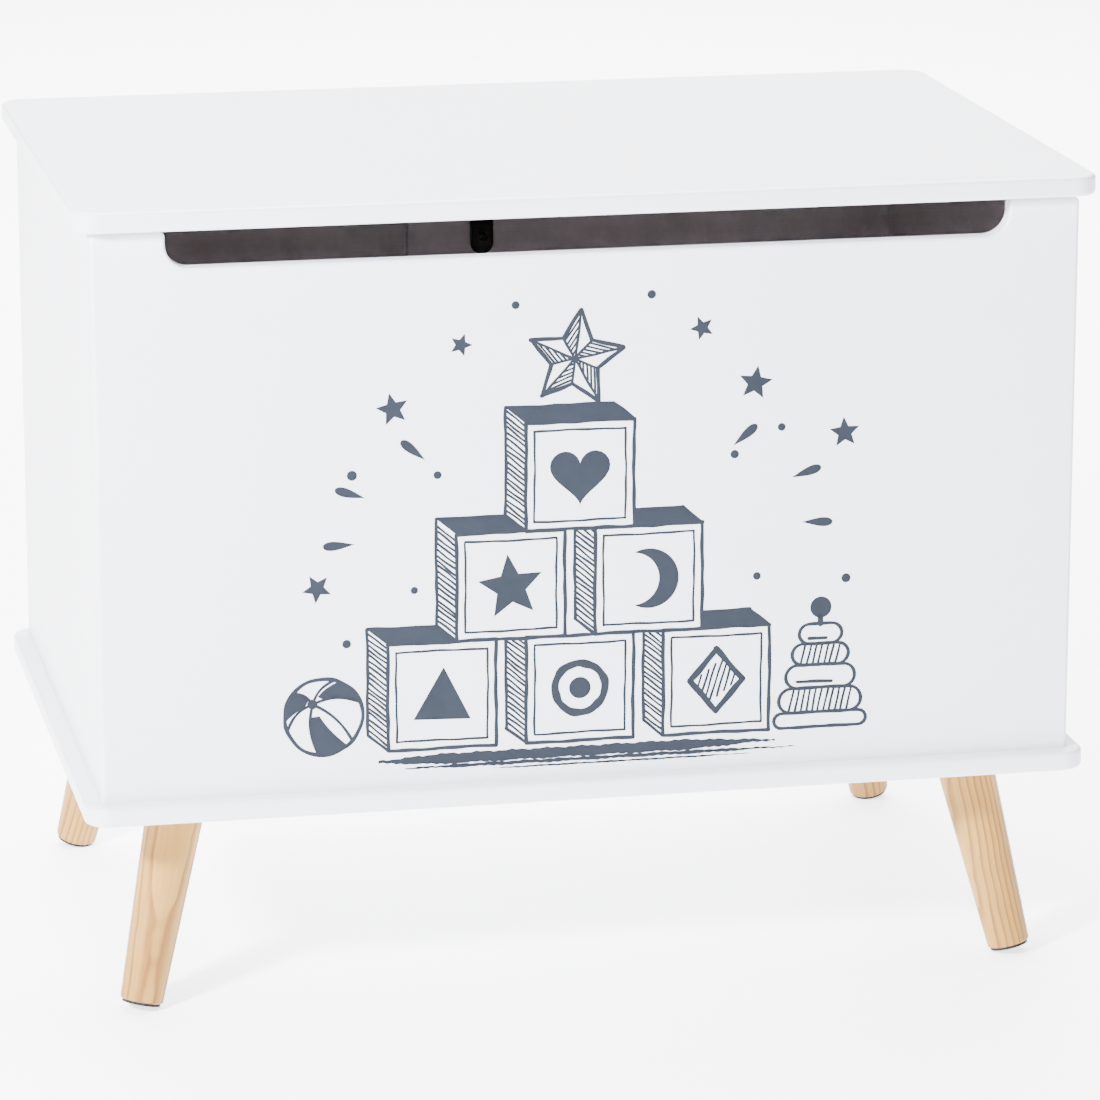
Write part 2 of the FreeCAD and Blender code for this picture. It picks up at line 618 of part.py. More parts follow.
def stay_strap():
    """The stay's fixed strap, bent over the back panel, with a round lower end."""
    wide = size("strap_wide")
    bent = Part.Face(strap_outline()).extrude(Vec(wide, 0, 0))
    face = value(f"{HALF_DEEP} - Sizes.board - Sizes.rail_thick")
    thick = size("strap_thick")
    low = value(WALL_TOP) - size("strap_drop")
    outer_bend = [
        edge for edge in bent.Edges
        if near(edge.BoundBox.YMin, face - thick) and near(edge.BoundBox.ZMin, value(WALL_TOP))
        and near(edge.BoundBox.YLength, 0)
    ]
    bent = bent.makeFillet(thick * 0.9, outer_bend)
    half = wide / 2
    centre = Vec(size("strap_side"), face - thick - 1, low + half)
    corner_box = Part.makeBox(wide + 2, thick + 2, half + 1, centre - Vec(half + 1, 0, half + 1))
    round_end = Part.makeCylinder(half, thick + 2, centre, Vec(0, 1, 0))
    bent = bent.cut(corner_box.cut(round_end))
    start = Vec(size("strap_side") - wide, value(AXIS_Y), value(AXIS_Z))
    barrel = Part.makeCylinder(size("barrel_radius") - 0.5, 2 * wide, start, Vec(1, 0, 0))
    bent = bent.cut(barrel)
    for drop in STRAP_SCREWS:
        at = Vec(size("strap_side"), face - thick - 1, value(WALL_TOP) - value(drop))
        bent = bent.cut(Part.makeCylinder(size("tack_radius"), thick + 2, at, Vec(0, 1, 0)))
    strap = doc.addObject("Part::Feature", "strap_shape")
    strap.Shape = bent
    strap.Placement = Place()
    finish(strap, "stay_strap")


def torsion_stay():
    """The stay: barrel on the strap, spindle and plate on the lid."""
    left = "(Sizes.strap_side - Sizes.barrel_long / 2)"
    barrel = along_axis("barrel_bar", "Sizes.barrel_radius", left, "Sizes.barrel_long")
    play = "Sizes.spindle_radius + Sizes.pin_play"
    bore = along_axis("barrel_bore", play, f"{left} - 1", "Sizes.barrel_long + 2")
    seat = block("barrel_seat", "Sizes.strap_wide", "Sizes.axis_back", "Sizes.strap_thick",
                 "Sizes.strap_side - Sizes.strap_wide / 2", HALF_DEEP, f"{WALL_TOP} - Sizes.strap_thick")
    finish(cut("barrel_cut", barrel, [bore, seat]), "stay_barrel")

    lug_left = f"({left} - Sizes.lug_long - {KNUCKLE_GAP})"
    lug_right = f"(Sizes.strap_side + Sizes.barrel_long / 2 + {KNUCKLE_GAP})"
    whole = f"(Sizes.barrel_long + 2 * Sizes.lug_long + {2 * KNUCKLE_GAP})"
    spindle = along_axis("spindle_bar", "Sizes.spindle_radius", lug_left, whole)
    finish(spindle, "stay_spindle")

    plate = block("arm_plate", whole, "Sizes.arm_deep - 1", "Sizes.leaf_thick",
                  lug_left, f"{AXIS_Y} - Sizes.arm_deep", f"{LID_UNDER} - Sizes.leaf_thick")
    clear = along_axis("arm_clear", f"Sizes.barrel_radius + {KNUCKLE_GAP}", f"{left} - {KNUCKLE_GAP}",
                       f"Sizes.barrel_long + {2 * KNUCKLE_GAP}")
    lugs = [
        along_axis(f"arm_lug{i}", "Sizes.barrel_radius", start, "Sizes.lug_long")
        for i, start in enumerate((lug_left, lug_right))
    ]
    hole = along_axis("arm_hole", "Sizes.spindle_radius", f"{lug_left} - 1", f"{whole} + 2")
    face = f"({LID_UNDER} - Sizes.leaf_thick)"
    holes = [hole]
    for number, (x, y) in enumerate(arm_screw_spots()):
        holes += sunk_hole(f"arm_hole{number}", x, y, face, -1)
    joined = fuse("arm_joined", [cut("arm_opened", plate, [clear])] + lugs)
    finish(cut("arm_drilled", joined, holes), "stay_lid_arm")


# ---- groups of small fasteners ---------------------------------------------------------------

def group(label, shapes):
    """A node of several separate, identical pieces."""
    piece = doc.addObject("Part::Feature", label)
    piece.Shape = Part.makeCompound(shapes)
    piece.Placement = Place()
    finish(piece, label)


def sunk_screw(head, shank, length, head_high, at, up):
    """A countersunk screw with its head's flat face at `at`, pointing along `up`."""
    tip = shank * 1.6
    body = Part.makeCone(head, shank, head_high)
    body = body.fuse(Part.makeCylinder(shank, length - head_high - tip, Vec(0, 0, head_high)))
    body = body.fuse(Part.makeCone(shank, shank * 0.25, tip, Vec(0, 0, length - tip))).removeSplitter()
    body.Placement = Place(at, Rot(Vec(0, 0, 1), up))
    return body


def domed_screw(head, shank, length, at, along):
    """A screw with a low domed head that bears on the face at `at`."""
    dome_high = head * 0.55
    ball_radius = (head ** 2 + dome_high ** 2) / (2 * dome_high)
    ball = Part.makeSphere(ball_radius, Vec(0, 0, ball_radius - dome_high))
    dome = ball.common(Part.makeCylinder(head, dome_high, Vec(0, 0, -dome_high)))
    body = dome.fuse(Part.makeCylinder(shank, length, Vec(0, 0, 0))).removeSplitter()
    body.Placement = Place(at, Rot(Vec(0, 0, 1), along))
    return body


def fasteners():
    """Every small repeated fastener, one node for each kind."""
    under = value(UNDER)
    base_screws = [
        sunk_screw(size("screw_head"), size("screw_radius"), size("screw_long"),
                   size("screw_head") - size("screw_radius"), Vec(value(x), value(y), under), Vec(0, 0, 1))
        for x, y in base_screw_spots()
    ]
    group("base_screws", base_screws)

    dowel_long = size("dowel_face") + size("dowel_end") - 1
    dowels = []
    for side in (-1, 1):
        for level in DOWEL_LEVELS:
            x = side * value(f"{HALF_WIDE} - {HALF_BOARD}")
            z = value(FLOOR_TOP) + value(level)
            for end in (-1, 1):
                inner = end * value(f"{HALF_DEEP} - Sizes.board")
                start = Vec(x, inner + end * size("dowel_face"), z)
                dowels.append(Part.makeCylinder(size("dowel_radius"), dowel_long, start, Vec(0, -end, 0)))
    group("corner_dowels", dowels)

    tack = (size("tack_head"), size("tack_radius"), size("tack_long"), size("leaf_thick"))
    top = value(WALL_TOP)
    lid_face = value(LID_UNDER) - size("leaf_thick")
    group("case_hinge_screws", [
        sunk_screw(*tack, Vec(value(x), value(y), top), Vec(0, 0, -1)) for x, y in case_tack_spots()])
    group("lid_hinge_screws", [
        sunk_screw(*tack, Vec(value(x), value(y), lid_face), Vec(0, 0, 1)) for x, y in lid_tack_spots()])
    group("stay_arm_screws", [
        sunk_screw(*tack, Vec(value(x), value(y), lid_face), Vec(0, 0, 1)) for x, y in arm_screw_spots()])

    strap_face = value(f"{HALF_DEEP} - Sizes.board - Sizes.rail_thick") - size("strap_thick")
    reach = size("strap_thick") + size("rail_thick") + 7
    group("strap_screws", [
        domed_screw(size("stud_radius"), size("tack_radius"), reach,
                    Vec(size("strap_side"), strap_face, top - value(drop)), Vec(0, 1, 0))
        for drop in STRAP_SCREWS
    ])

    edge_x = value(f"{HALF_WIDE} - {HALF_BOARD}")
    spots = [(side * edge_x, y) for side in (-1, 1) for y in (-size("leg_end"), size("case_deep") * 0.15)]
    group("lid_bumpers", [
        Part.makeCylinder(size("bumper_radius"), size("bumper_high"), Vec(x, y, top)) for x, y in spots])


# ---- build and write -------------------------------------------------------------------------

base_board()
lid_board()
front_panel()
back_panel()
side_panel("side_panel_left", -1)
side_panel("side_panel_right", 1)
stay_rail()
for spot, (side, end) in LEG_SPOTS.items():
    leg(spot, side, end)
butt_hinge("hinge_left", -1)
butt_hinge("hinge_right", 1)
stay_strap()
torsion_stay()
fasteners()
doc.recompute()

for item in doc.Objects:
    if "Invalid" in item.State or "Error" in item.State:
        raise RuntimeError(f"{item.Name} failed: {item.State}")
for piece in nodes:
    if piece.Shape.isNull() or not piece.Shape.isValid():
        raise RuntimeError(f"{piece.Label} has no valid shape")

os.makedirs("parts", exist_ok=True)
for piece in nodes:
    piece.Shape.exportStep(os.path.join("parts", piece.Label + ".step"))
    box = piece.Shape.BoundBox
    print(f"{piece.Label}: {len(piece.Shape.Solids)} solid(s), x {box.XMin:.1f}..{box.XMax:.1f}, "
          f"y {box.YMin:.1f}..{box.YMax:.1f}, z {box.ZMin:.1f}..{box.ZMax:.1f}")
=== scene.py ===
import math
import random

import bmesh
import bpy
from mathutils import Matrix, Vector


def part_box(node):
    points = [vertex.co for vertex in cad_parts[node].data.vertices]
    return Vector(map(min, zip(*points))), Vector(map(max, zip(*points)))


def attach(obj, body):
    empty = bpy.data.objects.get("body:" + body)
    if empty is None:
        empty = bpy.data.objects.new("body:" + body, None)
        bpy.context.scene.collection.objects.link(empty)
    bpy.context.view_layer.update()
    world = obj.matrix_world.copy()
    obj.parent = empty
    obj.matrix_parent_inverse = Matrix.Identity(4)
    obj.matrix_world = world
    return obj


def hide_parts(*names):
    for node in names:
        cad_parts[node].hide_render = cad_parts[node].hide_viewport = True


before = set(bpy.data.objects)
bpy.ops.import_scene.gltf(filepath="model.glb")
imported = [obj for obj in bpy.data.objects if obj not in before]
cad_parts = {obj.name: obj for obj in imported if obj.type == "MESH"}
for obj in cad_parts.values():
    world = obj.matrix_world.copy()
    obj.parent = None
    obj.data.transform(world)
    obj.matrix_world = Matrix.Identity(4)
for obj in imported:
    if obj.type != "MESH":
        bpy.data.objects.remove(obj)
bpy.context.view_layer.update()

bl_info = {
    "name": "Toy chest",
    "version": (1, 0, 0),
    "blender": (4, 5, 0),
    "location": "3D View > Sidebar > Toy chest",
    "description": "White lacquered toy chest on splayed pine legs, with a printed front",
    "category": "Add Mesh",
}

MM = 0.001


# ---- places taken from the frame ----

def span(node):
    """Lowest and highest corner of a CAD node as two vectors."""
    low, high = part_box(node)
    return Vector(low), Vector(high)


def middle(node):
    """The centre of a node's box."""
    low, high = span(node)
    return (low + high) / 2


LID_LOW = span("lid_board")[0]
BASE_LOW, BASE_HIGH = span("base_board")
FRONT_LOW, FRONT_HIGH = span("front_panel")
BACK_LOW = span("back_panel")[0]
BOARD = BASE_HIGH.z - BASE_LOW.z
CORNERS = ("front_left", "front_right", "back_left", "back_right")


# ---- user settings ----

def colour(name, default, description):
    """A colour setting."""
    return bpy.props.FloatVectorProperty(
        name=name, description=description, subtype="COLOR", size=3, min=0, max=1, default=default)


def length(name, default, description):
    """A length setting in metres."""
    return bpy.props.FloatProperty(
        name=name, description=description, unit="LENGTH", min=0, default=default, precision=5)


def factor(name, default, description):
    """A plain number between 0 and 1."""
    return bpy.props.FloatProperty(
        name=name, description=description, subtype="FACTOR", min=0, max=1, default=default)


def power(name, default, description):
    """A plain positive number."""
    return bpy.props.FloatProperty(name=name, description=description, min=0, default=default)


class LacquerSettings(bpy.types.PropertyGroup):
    """Finish and shape of the lacquered boards."""
    white: colour("White", (0.765, 0.78, 0.82), "Colour of the lacquer")
    shade: colour("Shade", (0.74, 0.755, 0.80), "The lacquer where it lies a little thinner")
    roughness: factor("Roughness", 0.42, "Roughness of the satin surface")
    # Inside: a painted shade tint for the inside of the case, where the same white lacquer lies in shade.
    inside: colour("Inside", (0.85, 0.79, 0.81), "The thinner coat inside the chest")
    peel: length("Orange peel", 0.04 * MM, "Height of the sprayed texture")


class LegSettings(bpy.types.PropertyGroup):
    """Pine of the turned legs."""
    early: colour("Early wood", (0.40, 0.215, 0.050), "Pale wood between the rings")
    late: colour("Late wood", (0.150, 0.052, 0.009), "Amber rings")
    ring: length("Ring spacing", 3.7 * MM, "Distance between growth rings")
    roughness: factor("Roughness", 0.46, "Roughness of the varnish")


class PrintSettings(bpy.types.PropertyGroup):
    """Ink drawing on the front panel."""
    ink: colour("Ink", (0.0145, 0.0185, 0.027), "Colour of the ink")
    line: length("Line width", 1.9 * MM, "Width of the drawn outlines")
    hatch: length("Hatch spacing", 3.3 * MM, "Distance between hatching strokes")
    proud: length("Ink thickness", 0.1 * MM, "How far the ink stands on the lacquer")


class HardwareSettings(bpy.types.PropertyGroup):
    """Metal and rubber fittings."""
    zinc: colour("Zinc", (0.43, 0.435, 0.45), "Plated steel of hinges, screws and nuts")
    black: colour("Black", (0.030, 0.027, 0.028), "Powder-coated steel of the stay")
    rubber: colour("Rubber", (0.014, 0.014, 0.015), "Foot pads and bumpers")


class StageSettings(bpy.types.PropertyGroup):
    """Floor, lights and camera."""
    floor: colour("Floor", (0.93, 0.93, 0.93), "Colour of the floor")
    key: power("Key light", 195, "Power of the key light")
    top: power("Overhead", 120, "Power of the light over the lid")
    back: power("Back light", 700, "Power of the light over the floor behind")
    sky: power("Surround", 0.25, "Strength of the white surround")
    glow: power("Floor glow", 2.6, "How much the floor lifts its own shadows")
    lens: power("Lens", 174.5, "Focal length in millimetres")


class ChestSettings(bpy.types.PropertyGroup):
    """Every setting of the chest."""
    lacquer: bpy.props.PointerProperty(type=LacquerSettings)
    legs: bpy.props.PointerProperty(type=LegSettings)
    drawing: bpy.props.PointerProperty(type=PrintSettings)
    hardware: bpy.props.PointerProperty(type=HardwareSettings)
    stage: bpy.props.PointerProperty(type=StageSettings)


def settings():
    """The chest's settings on the scene."""
    return bpy.context.scene.toy_chest


# ---- node graphs as expressions ----

class Wire:
    """One output socket, so that node maths reads like ordinary maths."""

    def __init__(self, graph, node, socket):
        self.graph = graph
        self.node = node
        self.socket = socket

    def out(self, name):
        return Wire(self.graph, self.node, self.node.outputs[name])

    def maths(self, operation, a, b=0.0):
        return self.graph.add("ShaderNodeMath", {"operation": operation}, {0: a, 1: b})

    def __add__(self, other):
        return self.maths("ADD", self, other)

    def __sub__(self, other):
        return self.maths("SUBTRACT", self, other)

    def __mul__(self, other):
        return self.maths("MULTIPLY", self, other)

    def __truediv__(self, other):
        return self.maths("DIVIDE", self, other)

    def __rsub__(self, other):
        return self.maths("SUBTRACT", other, self)

    __radd__ = __add__
    __rmul__ = __mul__

    def root(self):
        return self.maths("SQRT", self)

    def fraction(self):
        return self.maths("FRACT", self)

    def size(self):
        return self.maths("ABSOLUTE", self)

    def below(self, limit):
        return self.maths("LESS_THAN", self, limit)


class Graph:
    """A node tree under construction."""

    def __init__(self, tree):
        self.tree = tree
        tree.nodes.clear()

    def add(self, kind, options=None, sockets=None, out=0):
        """Add any node: options first, then socket values or links."""
        node = self.tree.nodes.new(kind)
        for name, value in (options or {}).items():
            if name == "stops":
                self.set_stops(node.color_ramp, value)
            else:
                setattr(node, name, value)
        for key, value in (sockets or {}).items():
            if isinstance(value, Wire):
                self.tree.links.new(value.socket, node.inputs[key])
            else:
                node.inputs[key].default_value = value
        return Wire(self, node, node.outputs[out] if len(node.outputs) else None)

    def set_stops(self, ramp, stops):
        """Give a colour ramp its stops: (position, grey or colour)."""
        while len(ramp.elements) < len(stops):
            ramp.elements.new(1.0)
        for element, (place, shade) in zip(ramp.elements, stops):
            element.position = place
            element.color = (shade, shade, shade, 1) if isinstance(shade, float) else (*shade, 1)

    def vector(self, operation, first, second):
        """Maths on two vectors."""
        return self.add("ShaderNodeVectorMath", {"operation": operation}, {0: first, 1: second})

    def mix(self, amount, first, second):
        """Blend two colours."""
        sockets = {0: amount, 6: first, 7: second}
        return self.add("ShaderNodeMix", {"data_type": "RGBA"}, sockets, out=2)

    def noise(self, place, scale, detail=2.0, roughness=0.5):
        """Noise between 0 and 1."""
        sockets = {"Vector": place, "Scale": scale, "Detail": detail, "Roughness": roughness}
        return self.add("ShaderNodeTexNoise", None, sockets)

    def ramp(self, value, stops):
        """A colour ramp."""
        return self.add("ShaderNodeValToRGB", {"stops": stops}, {0: value})

    def bump(self, height, strength, distance):
        """A bump from a height in the range 0 to 1."""
        sockets = {"Height": height, "Strength": strength, "Distance": distance}
        return self.add("ShaderNodeBump", None, sockets)


def rgba(value):
    """A colour setting as four numbers."""
    return (*value[:3], 1.0)


def new_material(name):
    """A material, new or made over, with its emptied graph and object coordinates."""
    material = bpy.data.materials.get(name) or bpy.data.materials.new(name)
    material.use_nodes = True
    graph = Graph(material.node_tree)
    place = graph.add("ShaderNodeTexCoord").out("Object")
    return material, graph, place


def surface(graph, sockets, constants=None):
    """The principled shader and the output of a material."""
    shader = graph.add("ShaderNodeBsdfPrincipled", None, {**sockets, **(constants or {})})
    graph.add("ShaderNodeOutputMaterial", None, {"Surface": shader})


# ---- materials ----

# How far the painted shade tint of the inside reaches into the boards, and how far growth rings stray.
SHADE_TINT_REACH = 0.5 * MM
RING_WANDER = 3.5 * MM


def shaded_inside_mask(graph, place):
    """1 inside the case, where the painted shade tint goes, and 0 outside it."""
    split = graph.add("ShaderNodeSeparateXYZ", None, {0: place})
    x, y, z = (split.out(axis) for axis in "XYZ")
    within_x = x.size().below(FRONT_HIGH.x - BOARD + SHADE_TINT_REACH)
    within_y = y.size().below(BACK_LOW.y + SHADE_TINT_REACH)
    above = z.maths("GREATER_THAN", z, BASE_HIGH.z - SHADE_TINT_REACH)
    return within_x * within_y * above * z.below(LID_LOW.z + SHADE_TINT_REACH)


def white_lacquer():
    """Sprayed satin lacquer: faint drift in tone, roller stipple, orange peel and a painted shade tint on
    the inside of the case.
    """
    look = settings().lacquer
    material, graph, place = new_material("white lacquer")
    drift = graph.noise(place, 5.5, 3.0)
    cloud = graph.noise(place, 38.0, 2.0)
    tone = graph.ramp(drift * 0.7 + cloud * 0.3, [(0.3, 0.0), (0.7, 1.0)])
    paint = graph.mix(tone, rgba(look.white), rgba(look.shade))
    # Painted shade: inside the case the lacquer takes a warm tint that stands for the shade there.
    paint = graph.mix(shaded_inside_mask(graph, place), paint, rgba(look.inside))
    peel = graph.noise(place, 620.0, 3.0, 0.55)
    stipple = graph.noise(place, 2300.0, 1.0)
    height = peel * 0.8 + stipple * 0.2
    normal = graph.bump(height, 0.12, look.peel)
    rough = look.roughness - 0.05 + cloud * 0.06 + peel * 0.04
    surface(graph, {"Base Color": paint, "Roughness": rough, "Normal": normal},
            {"Specular IOR Level": 0.42, "Coat Weight": 0.12, "Coat Roughness": 0.3})
    return material


def pine(spot, axis_from, axis_to, pith, lean):
    """Turned pine: growth rings round a pith beside the leg, fine fibres, pores and varnish."""
    look = settings().legs
    material, graph, place = new_material("pine " + spot.replace("_", " "))
    along = (axis_to - axis_from).normalized()
    level = graph.vector("SUBTRACT", place, tuple(axis_from))
    sideways = (Vector((1, 0, 0)) - along * along.x).normalized()
    backwards = along.cross(sideways)
    across, deep, height = (graph.vector("DOT_PRODUCT", level, tuple(axis)).out("Value")
                            for axis in (sideways, backwards, along))
    local = graph.add("ShaderNodeCombineXYZ", None, {0: across, 1: deep, 2: height})
    wander = graph.noise(local, 26.0, 2.0)
    stretched = graph.vector("MULTIPLY", local, (620.0, 620.0, 9.0))
    fibre = graph.noise(stretched, 1.0, 3.0, 0.6)
    pith_x = across - pith[0] - height * lean[0]
    pith_y = deep - pith[1] - height * lean[1]
    radius = (pith_x * pith_x + pith_y * pith_y).root() + (wander - 0.5) * RING_WANDER
    ring = (radius / look.ring).fraction()
    late = graph.ramp(ring, [(0.0, 0.05), (0.5, 0.16), (0.83, 0.95), (0.9, 1.0), (0.965, 0.3), (1.0, 0.05)])
    streak = graph.ramp(fibre, [(0.35, 0.0), (0.72, 1.0)])
    amount = late * 0.74 + streak * 0.2
    wood = graph.mix(amount, rgba(look.early), rgba(look.late))
    patch = graph.noise(local, 55.0, 2.0)
    wood = graph.mix(patch * 0.2, wood, (0.48, 0.29, 0.085, 1))
    pores = graph.ramp(fibre, [(0.60, 0.0), (0.68, 1.0)])
    normal = graph.bump(late * 0.4 - pores * 0.5, 0.22, 0.08 * MM)
    rough = look.roughness + late * 0.07 - patch * 0.05
    surface(graph, {"Base Color": wood, "Roughness": rough, "Normal": normal},
            {"Specular IOR Level": 0.2})
    return material


def beech():
    """Plain beech of the dowels, with short darker flecks."""
    material, graph, place = new_material("beech")
    fibre = graph.noise(graph.vector("MULTIPLY", place, (900.0, 40.0, 900.0)), 1.0, 2.0)
    fleck = graph.ramp(fibre, [(0.5, 0.0), (0.66, 1.0)])
    wood = graph.mix(fleck, (0.62, 0.43, 0.26, 1), (0.42, 0.26, 0.14, 1))
    surface(graph, {"Base Color": wood, "Roughness": 0.6 + fibre * 0.1,
                    "Normal": graph.bump(fibre, 0.2, 0.1 * MM)})
    return material


def zinc_plate():
    """Bright zinc: rolled streaks and a faint bloom."""
    look = settings().hardware
    material, graph, place = new_material("zinc plate")
    rolled = graph.vector("MULTIPLY", place, (60.0, 1600.0, 1600.0))
    streak = graph.noise(rolled, 1.0, 3.0)
    bloom = graph.noise(place, 140.0, 3.0)
    metal = graph.mix(bloom * 0.5 + streak * 0.3, rgba(look.zinc), (0.33, 0.335, 0.35, 1))
    surface(graph, {"Base Color": metal, "Roughness": 0.24 + streak * 0.14 + bloom * 0.08,
                    "Normal": graph.bump(streak, 0.12, 0.03 * MM)}, {"Metallic": 1.0})
    return material


def black_coat():
    """Black powder coat with its fine pebbled skin."""
    look = settings().hardware
    material, graph, place = new_material("black powder coat")
    pebble = graph.noise(place, 1500.0, 2.0)
    dust = graph.noise(place, 90.0, 3.0)
    paint = graph.mix(dust * 0.6, rgba(look.black), (0.042, 0.038, 0.039, 1))
    surface(graph, {"Base Color": paint, "Roughness": 0.32 + dust * 0.16,
                    "Normal": graph.bump(pebble, 0.3, 0.05 * MM)}, {"Specular IOR Level": 0.16})
    return material


def black_rubber():
    """Matt moulded rubber with a little dust in it."""
    look = settings().hardware
    material, graph, place = new_material("black rubber")
    grain = graph.noise(place, 900.0, 3.0)
    scuff = graph.ramp(graph.noise(place, 160.0, 4.0), [(0.5, 0.0), (0.75, 1.0)])
    skin = graph.mix(scuff * 0.5, rgba(look.rubber), (0.03, 0.029, 0.028, 1))
    surface(graph, {"Base Color": skin, "Roughness": 0.72 + grain * 0.15,
                    "Normal": graph.bump(grain, 0.35, 0.08 * MM)}, {"Specular IOR Level": 0.2})
    return material


def front_ink():
    """Slate ink, a little uneven where the screen let less through."""
    look = settings().drawing
    material, graph, place = new_material("slate ink")
    cloud = graph.noise(place, 60.0, 3.0)
    mottle = graph.noise(place, 900.0, 2.0)
    pale = graph.ramp(cloud * 0.75 + mottle * 0.25, [(0.35, 0.0), (0.75, 1.0)])
    ink = graph.mix(pale, rgba(look.ink), tuple(min(1.0, c * 1.22) for c in look.ink) + (1.0,))
    surface(graph, {"Base Color": ink, "Roughness": 0.5 + mottle * 0.1,
                    "Normal": graph.bump(mottle, 0.12, 0.03 * MM)}, {"Specular IOR Level": 0.12})
    return material


def pale_floor():
    """Pale studio floor that lifts its own shadows a little."""
    look = settings().stage
    material, graph, place = new_material("studio floor")
    drift = graph.noise(place, 0.7, 2.0)
    shade = graph.mix(drift * 0.3, rgba(look.floor), (0.9, 0.9, 0.905, 1))
    surface(graph, {"Base Color": shade, "Roughness": 0.75 + drift * 0.1},
            {"Emission Color": (1, 1, 1, 1), "Emission Strength": look.glow, "Specular IOR Level": 0.1})
    return material


# ---- mesh helpers ----

# Corners closer than this are one corner.
MERGE = 0.002 * MM


def clear(name):
    """Remove a piece of that name before it is made again."""
    old = bpy.data.objects.get(name)
    if old:
        bpy.data.objects.remove(old, do_unlink=True)


def piece_from(bm, name, material):
    """Turn a finished bmesh into an object of its own."""
    clear(name)
    mesh = bpy.data.meshes.new(name)
    bm.to_mesh(mesh)
    bm.free()
    if material:
        mesh.materials.append(material)
    piece = bpy.data.objects.new(name, mesh)
    bpy.context.scene.collection.objects.link(piece)
    return piece


def settle(piece, body, slot, *nodes):
    """Join a finished piece to its body and hide the CAD nodes it stands for. `slot` is not used."""
    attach(piece, body)
    if nodes:
        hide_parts(*nodes)


def shade_by_angle(bm, degrees=32):
    """Smooth faces, with sharp edges where the surface really turns."""
    for face in bm.faces:
        face.smooth = True
    for edge in bm.edges:
        turn = edge.calc_face_angle(0.0)
        edge.smooth = turn < math.radians(degrees)


def even_normals(piece):
    """Keep flat faces flat beside their round-overs."""
    modifier = piece.modifiers.new("even normals", "WEIGHTED_NORMAL")
    modifier.mode = "FACE_AREA"
    modifier.keep_sharp = True


def smooth_copy(node, name, material):
    """A merged, smoothly shaded copy of a CAD node."""
    bm = bmesh.new()
    bm.from_mesh(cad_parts[node].data)
    bmesh.ops.remove_doubles(bm, verts=bm.verts, dist=MERGE)
    bmesh.ops.dissolve_degenerate(bm, dist=0.001 * MM, edges=bm.edges)
    bmesh.ops.dissolve_limit(bm, angle_limit=math.radians(0.2), verts=bm.verts, edges=bm.edges)
    shade_by_angle(bm)
    piece = piece_from(bm, name, material)
    even_normals(piece)
    return piece


def stand_in(node, name, material, body, slot):
    """A smooth copy of a CAD node in the node's place."""
    settle(smooth_copy(node, name, material), body, slot, node)


def evaluated(piece):
    """The mesh of a piece after its modifiers."""
    bpy.context.view_layer.update()
    graph = bpy.context.evaluated_depsgraph_get()
    return bpy.data.meshes.new_from_object(piece.evaluated_get(graph))


def arc(centre, radius, start, stop, steps):
    """Points along an arc, angles in degrees."""
    turns = (math.radians(start + (stop - start) * i / steps) for i in range(steps + 1))
    return [(centre[0] + radius * math.cos(t), centre[1] + radius * math.sin(t)) for t in turns]


def repeat_tree():
    """Geometry nodes that set one source shape on every point, turned to the point's direction."""
    name = "repeat on points"
    old = bpy.data.node_groups.get(name)
    if old:
        bpy.data.node_groups.remove(old)
    tree = bpy.data.node_groups.new(name, "GeometryNodeTree")
    face = tree.interface
    for socket, kind in (("Geometry", "Geometry"), ("Source", "Object"), ("Spin", "Float"), ("Seed", "Int"),
                         ("Finish", "Material")):
        face.new_socket(socket, in_out="INPUT", socket_type="NodeSocket" + kind)
    face.new_socket("Geometry", in_out="OUTPUT", socket_type="NodeSocketGeometry")
    graph = Graph(tree)
    entry = graph.add("NodeGroupInput")
    source = graph.add("GeometryNodeObjectInfo", None, {"Object": entry.out("Source")}).out("Geometry")
    facing = graph.add("GeometryNodeInputNamedAttribute", {"data_type": "FLOAT_VECTOR"}, {"Name": "facing"})
    aim = graph.add("FunctionNodeAlignRotationToVector", {"axis": "Z"}, {"Vector": facing})
    points = graph.add("GeometryNodeMeshToPoints", None, {"Mesh": entry.out("Geometry")})
    placed = graph.add("GeometryNodeInstanceOnPoints", None, {
        "Points": points, "Instance": source, "Rotation": aim})
    spin = graph.add("FunctionNodeRandomValue", {"data_type": "FLOAT"}, {
        2: entry.out("Spin") * -1.0, 3: entry.out("Spin"), 8: entry.out("Seed")}, out=1)
    twist = graph.add("ShaderNodeCombineXYZ", None, {2: spin})
    turned = graph.add("GeometryNodeRotateInstances", None, {"Instances": placed, "Rotation": twist})
    real = graph.add("GeometryNodeRealizeInstances", None, {"Geometry": turned})
    done = graph.add("GeometryNodeSetMaterial", None, {"Geometry": real, "Material": entry.out("Finish")})
    graph.add("NodeGroupOutput", None, {"Geometry": done})
    return tree


def repeated(name, source, spots, material, spin=0.0, seed=7):
    """Many copies of one source shape as one plain mesh. `spots` holds (place, direction) pairs."""
    clear(name)
    mesh = bpy.data.meshes.new(name + " points")
    mesh.from_pydata([tuple(place) for place, _ in spots], [], [])
    facing = mesh.attributes.new("facing", "FLOAT_VECTOR", "POINT")
    for item, (_, direction) in zip(facing.data, spots):
        item.vector = direction
    carrier = bpy.data.objects.new(name + " points", mesh)
    bpy.context.scene.collection.objects.link(carrier)
    tree = repeat_tree()
    modifier = carrier.modifiers.new("repeat", "NODES")
    modifier.node_group = tree
    values = {"Source": source, "Spin": spin, "Seed": seed, "Finish": material}
    for item in tree.interface.items_tree:
        if item.in_out == "INPUT" and item.name in values:
            modifier[item.identifier] = values[item.name]
    result = evaluated(carrier)
    result.name = name
    piece = bpy.data.objects.new(name, result)
    bpy.context.scene.collection.objects.link(piece)
    for helper in (carrier, source):
        bpy.data.objects.remove(helper, do_unlink=True)
    if not result.polygons:
        raise RuntimeError(name + " came out empty")
    return piece


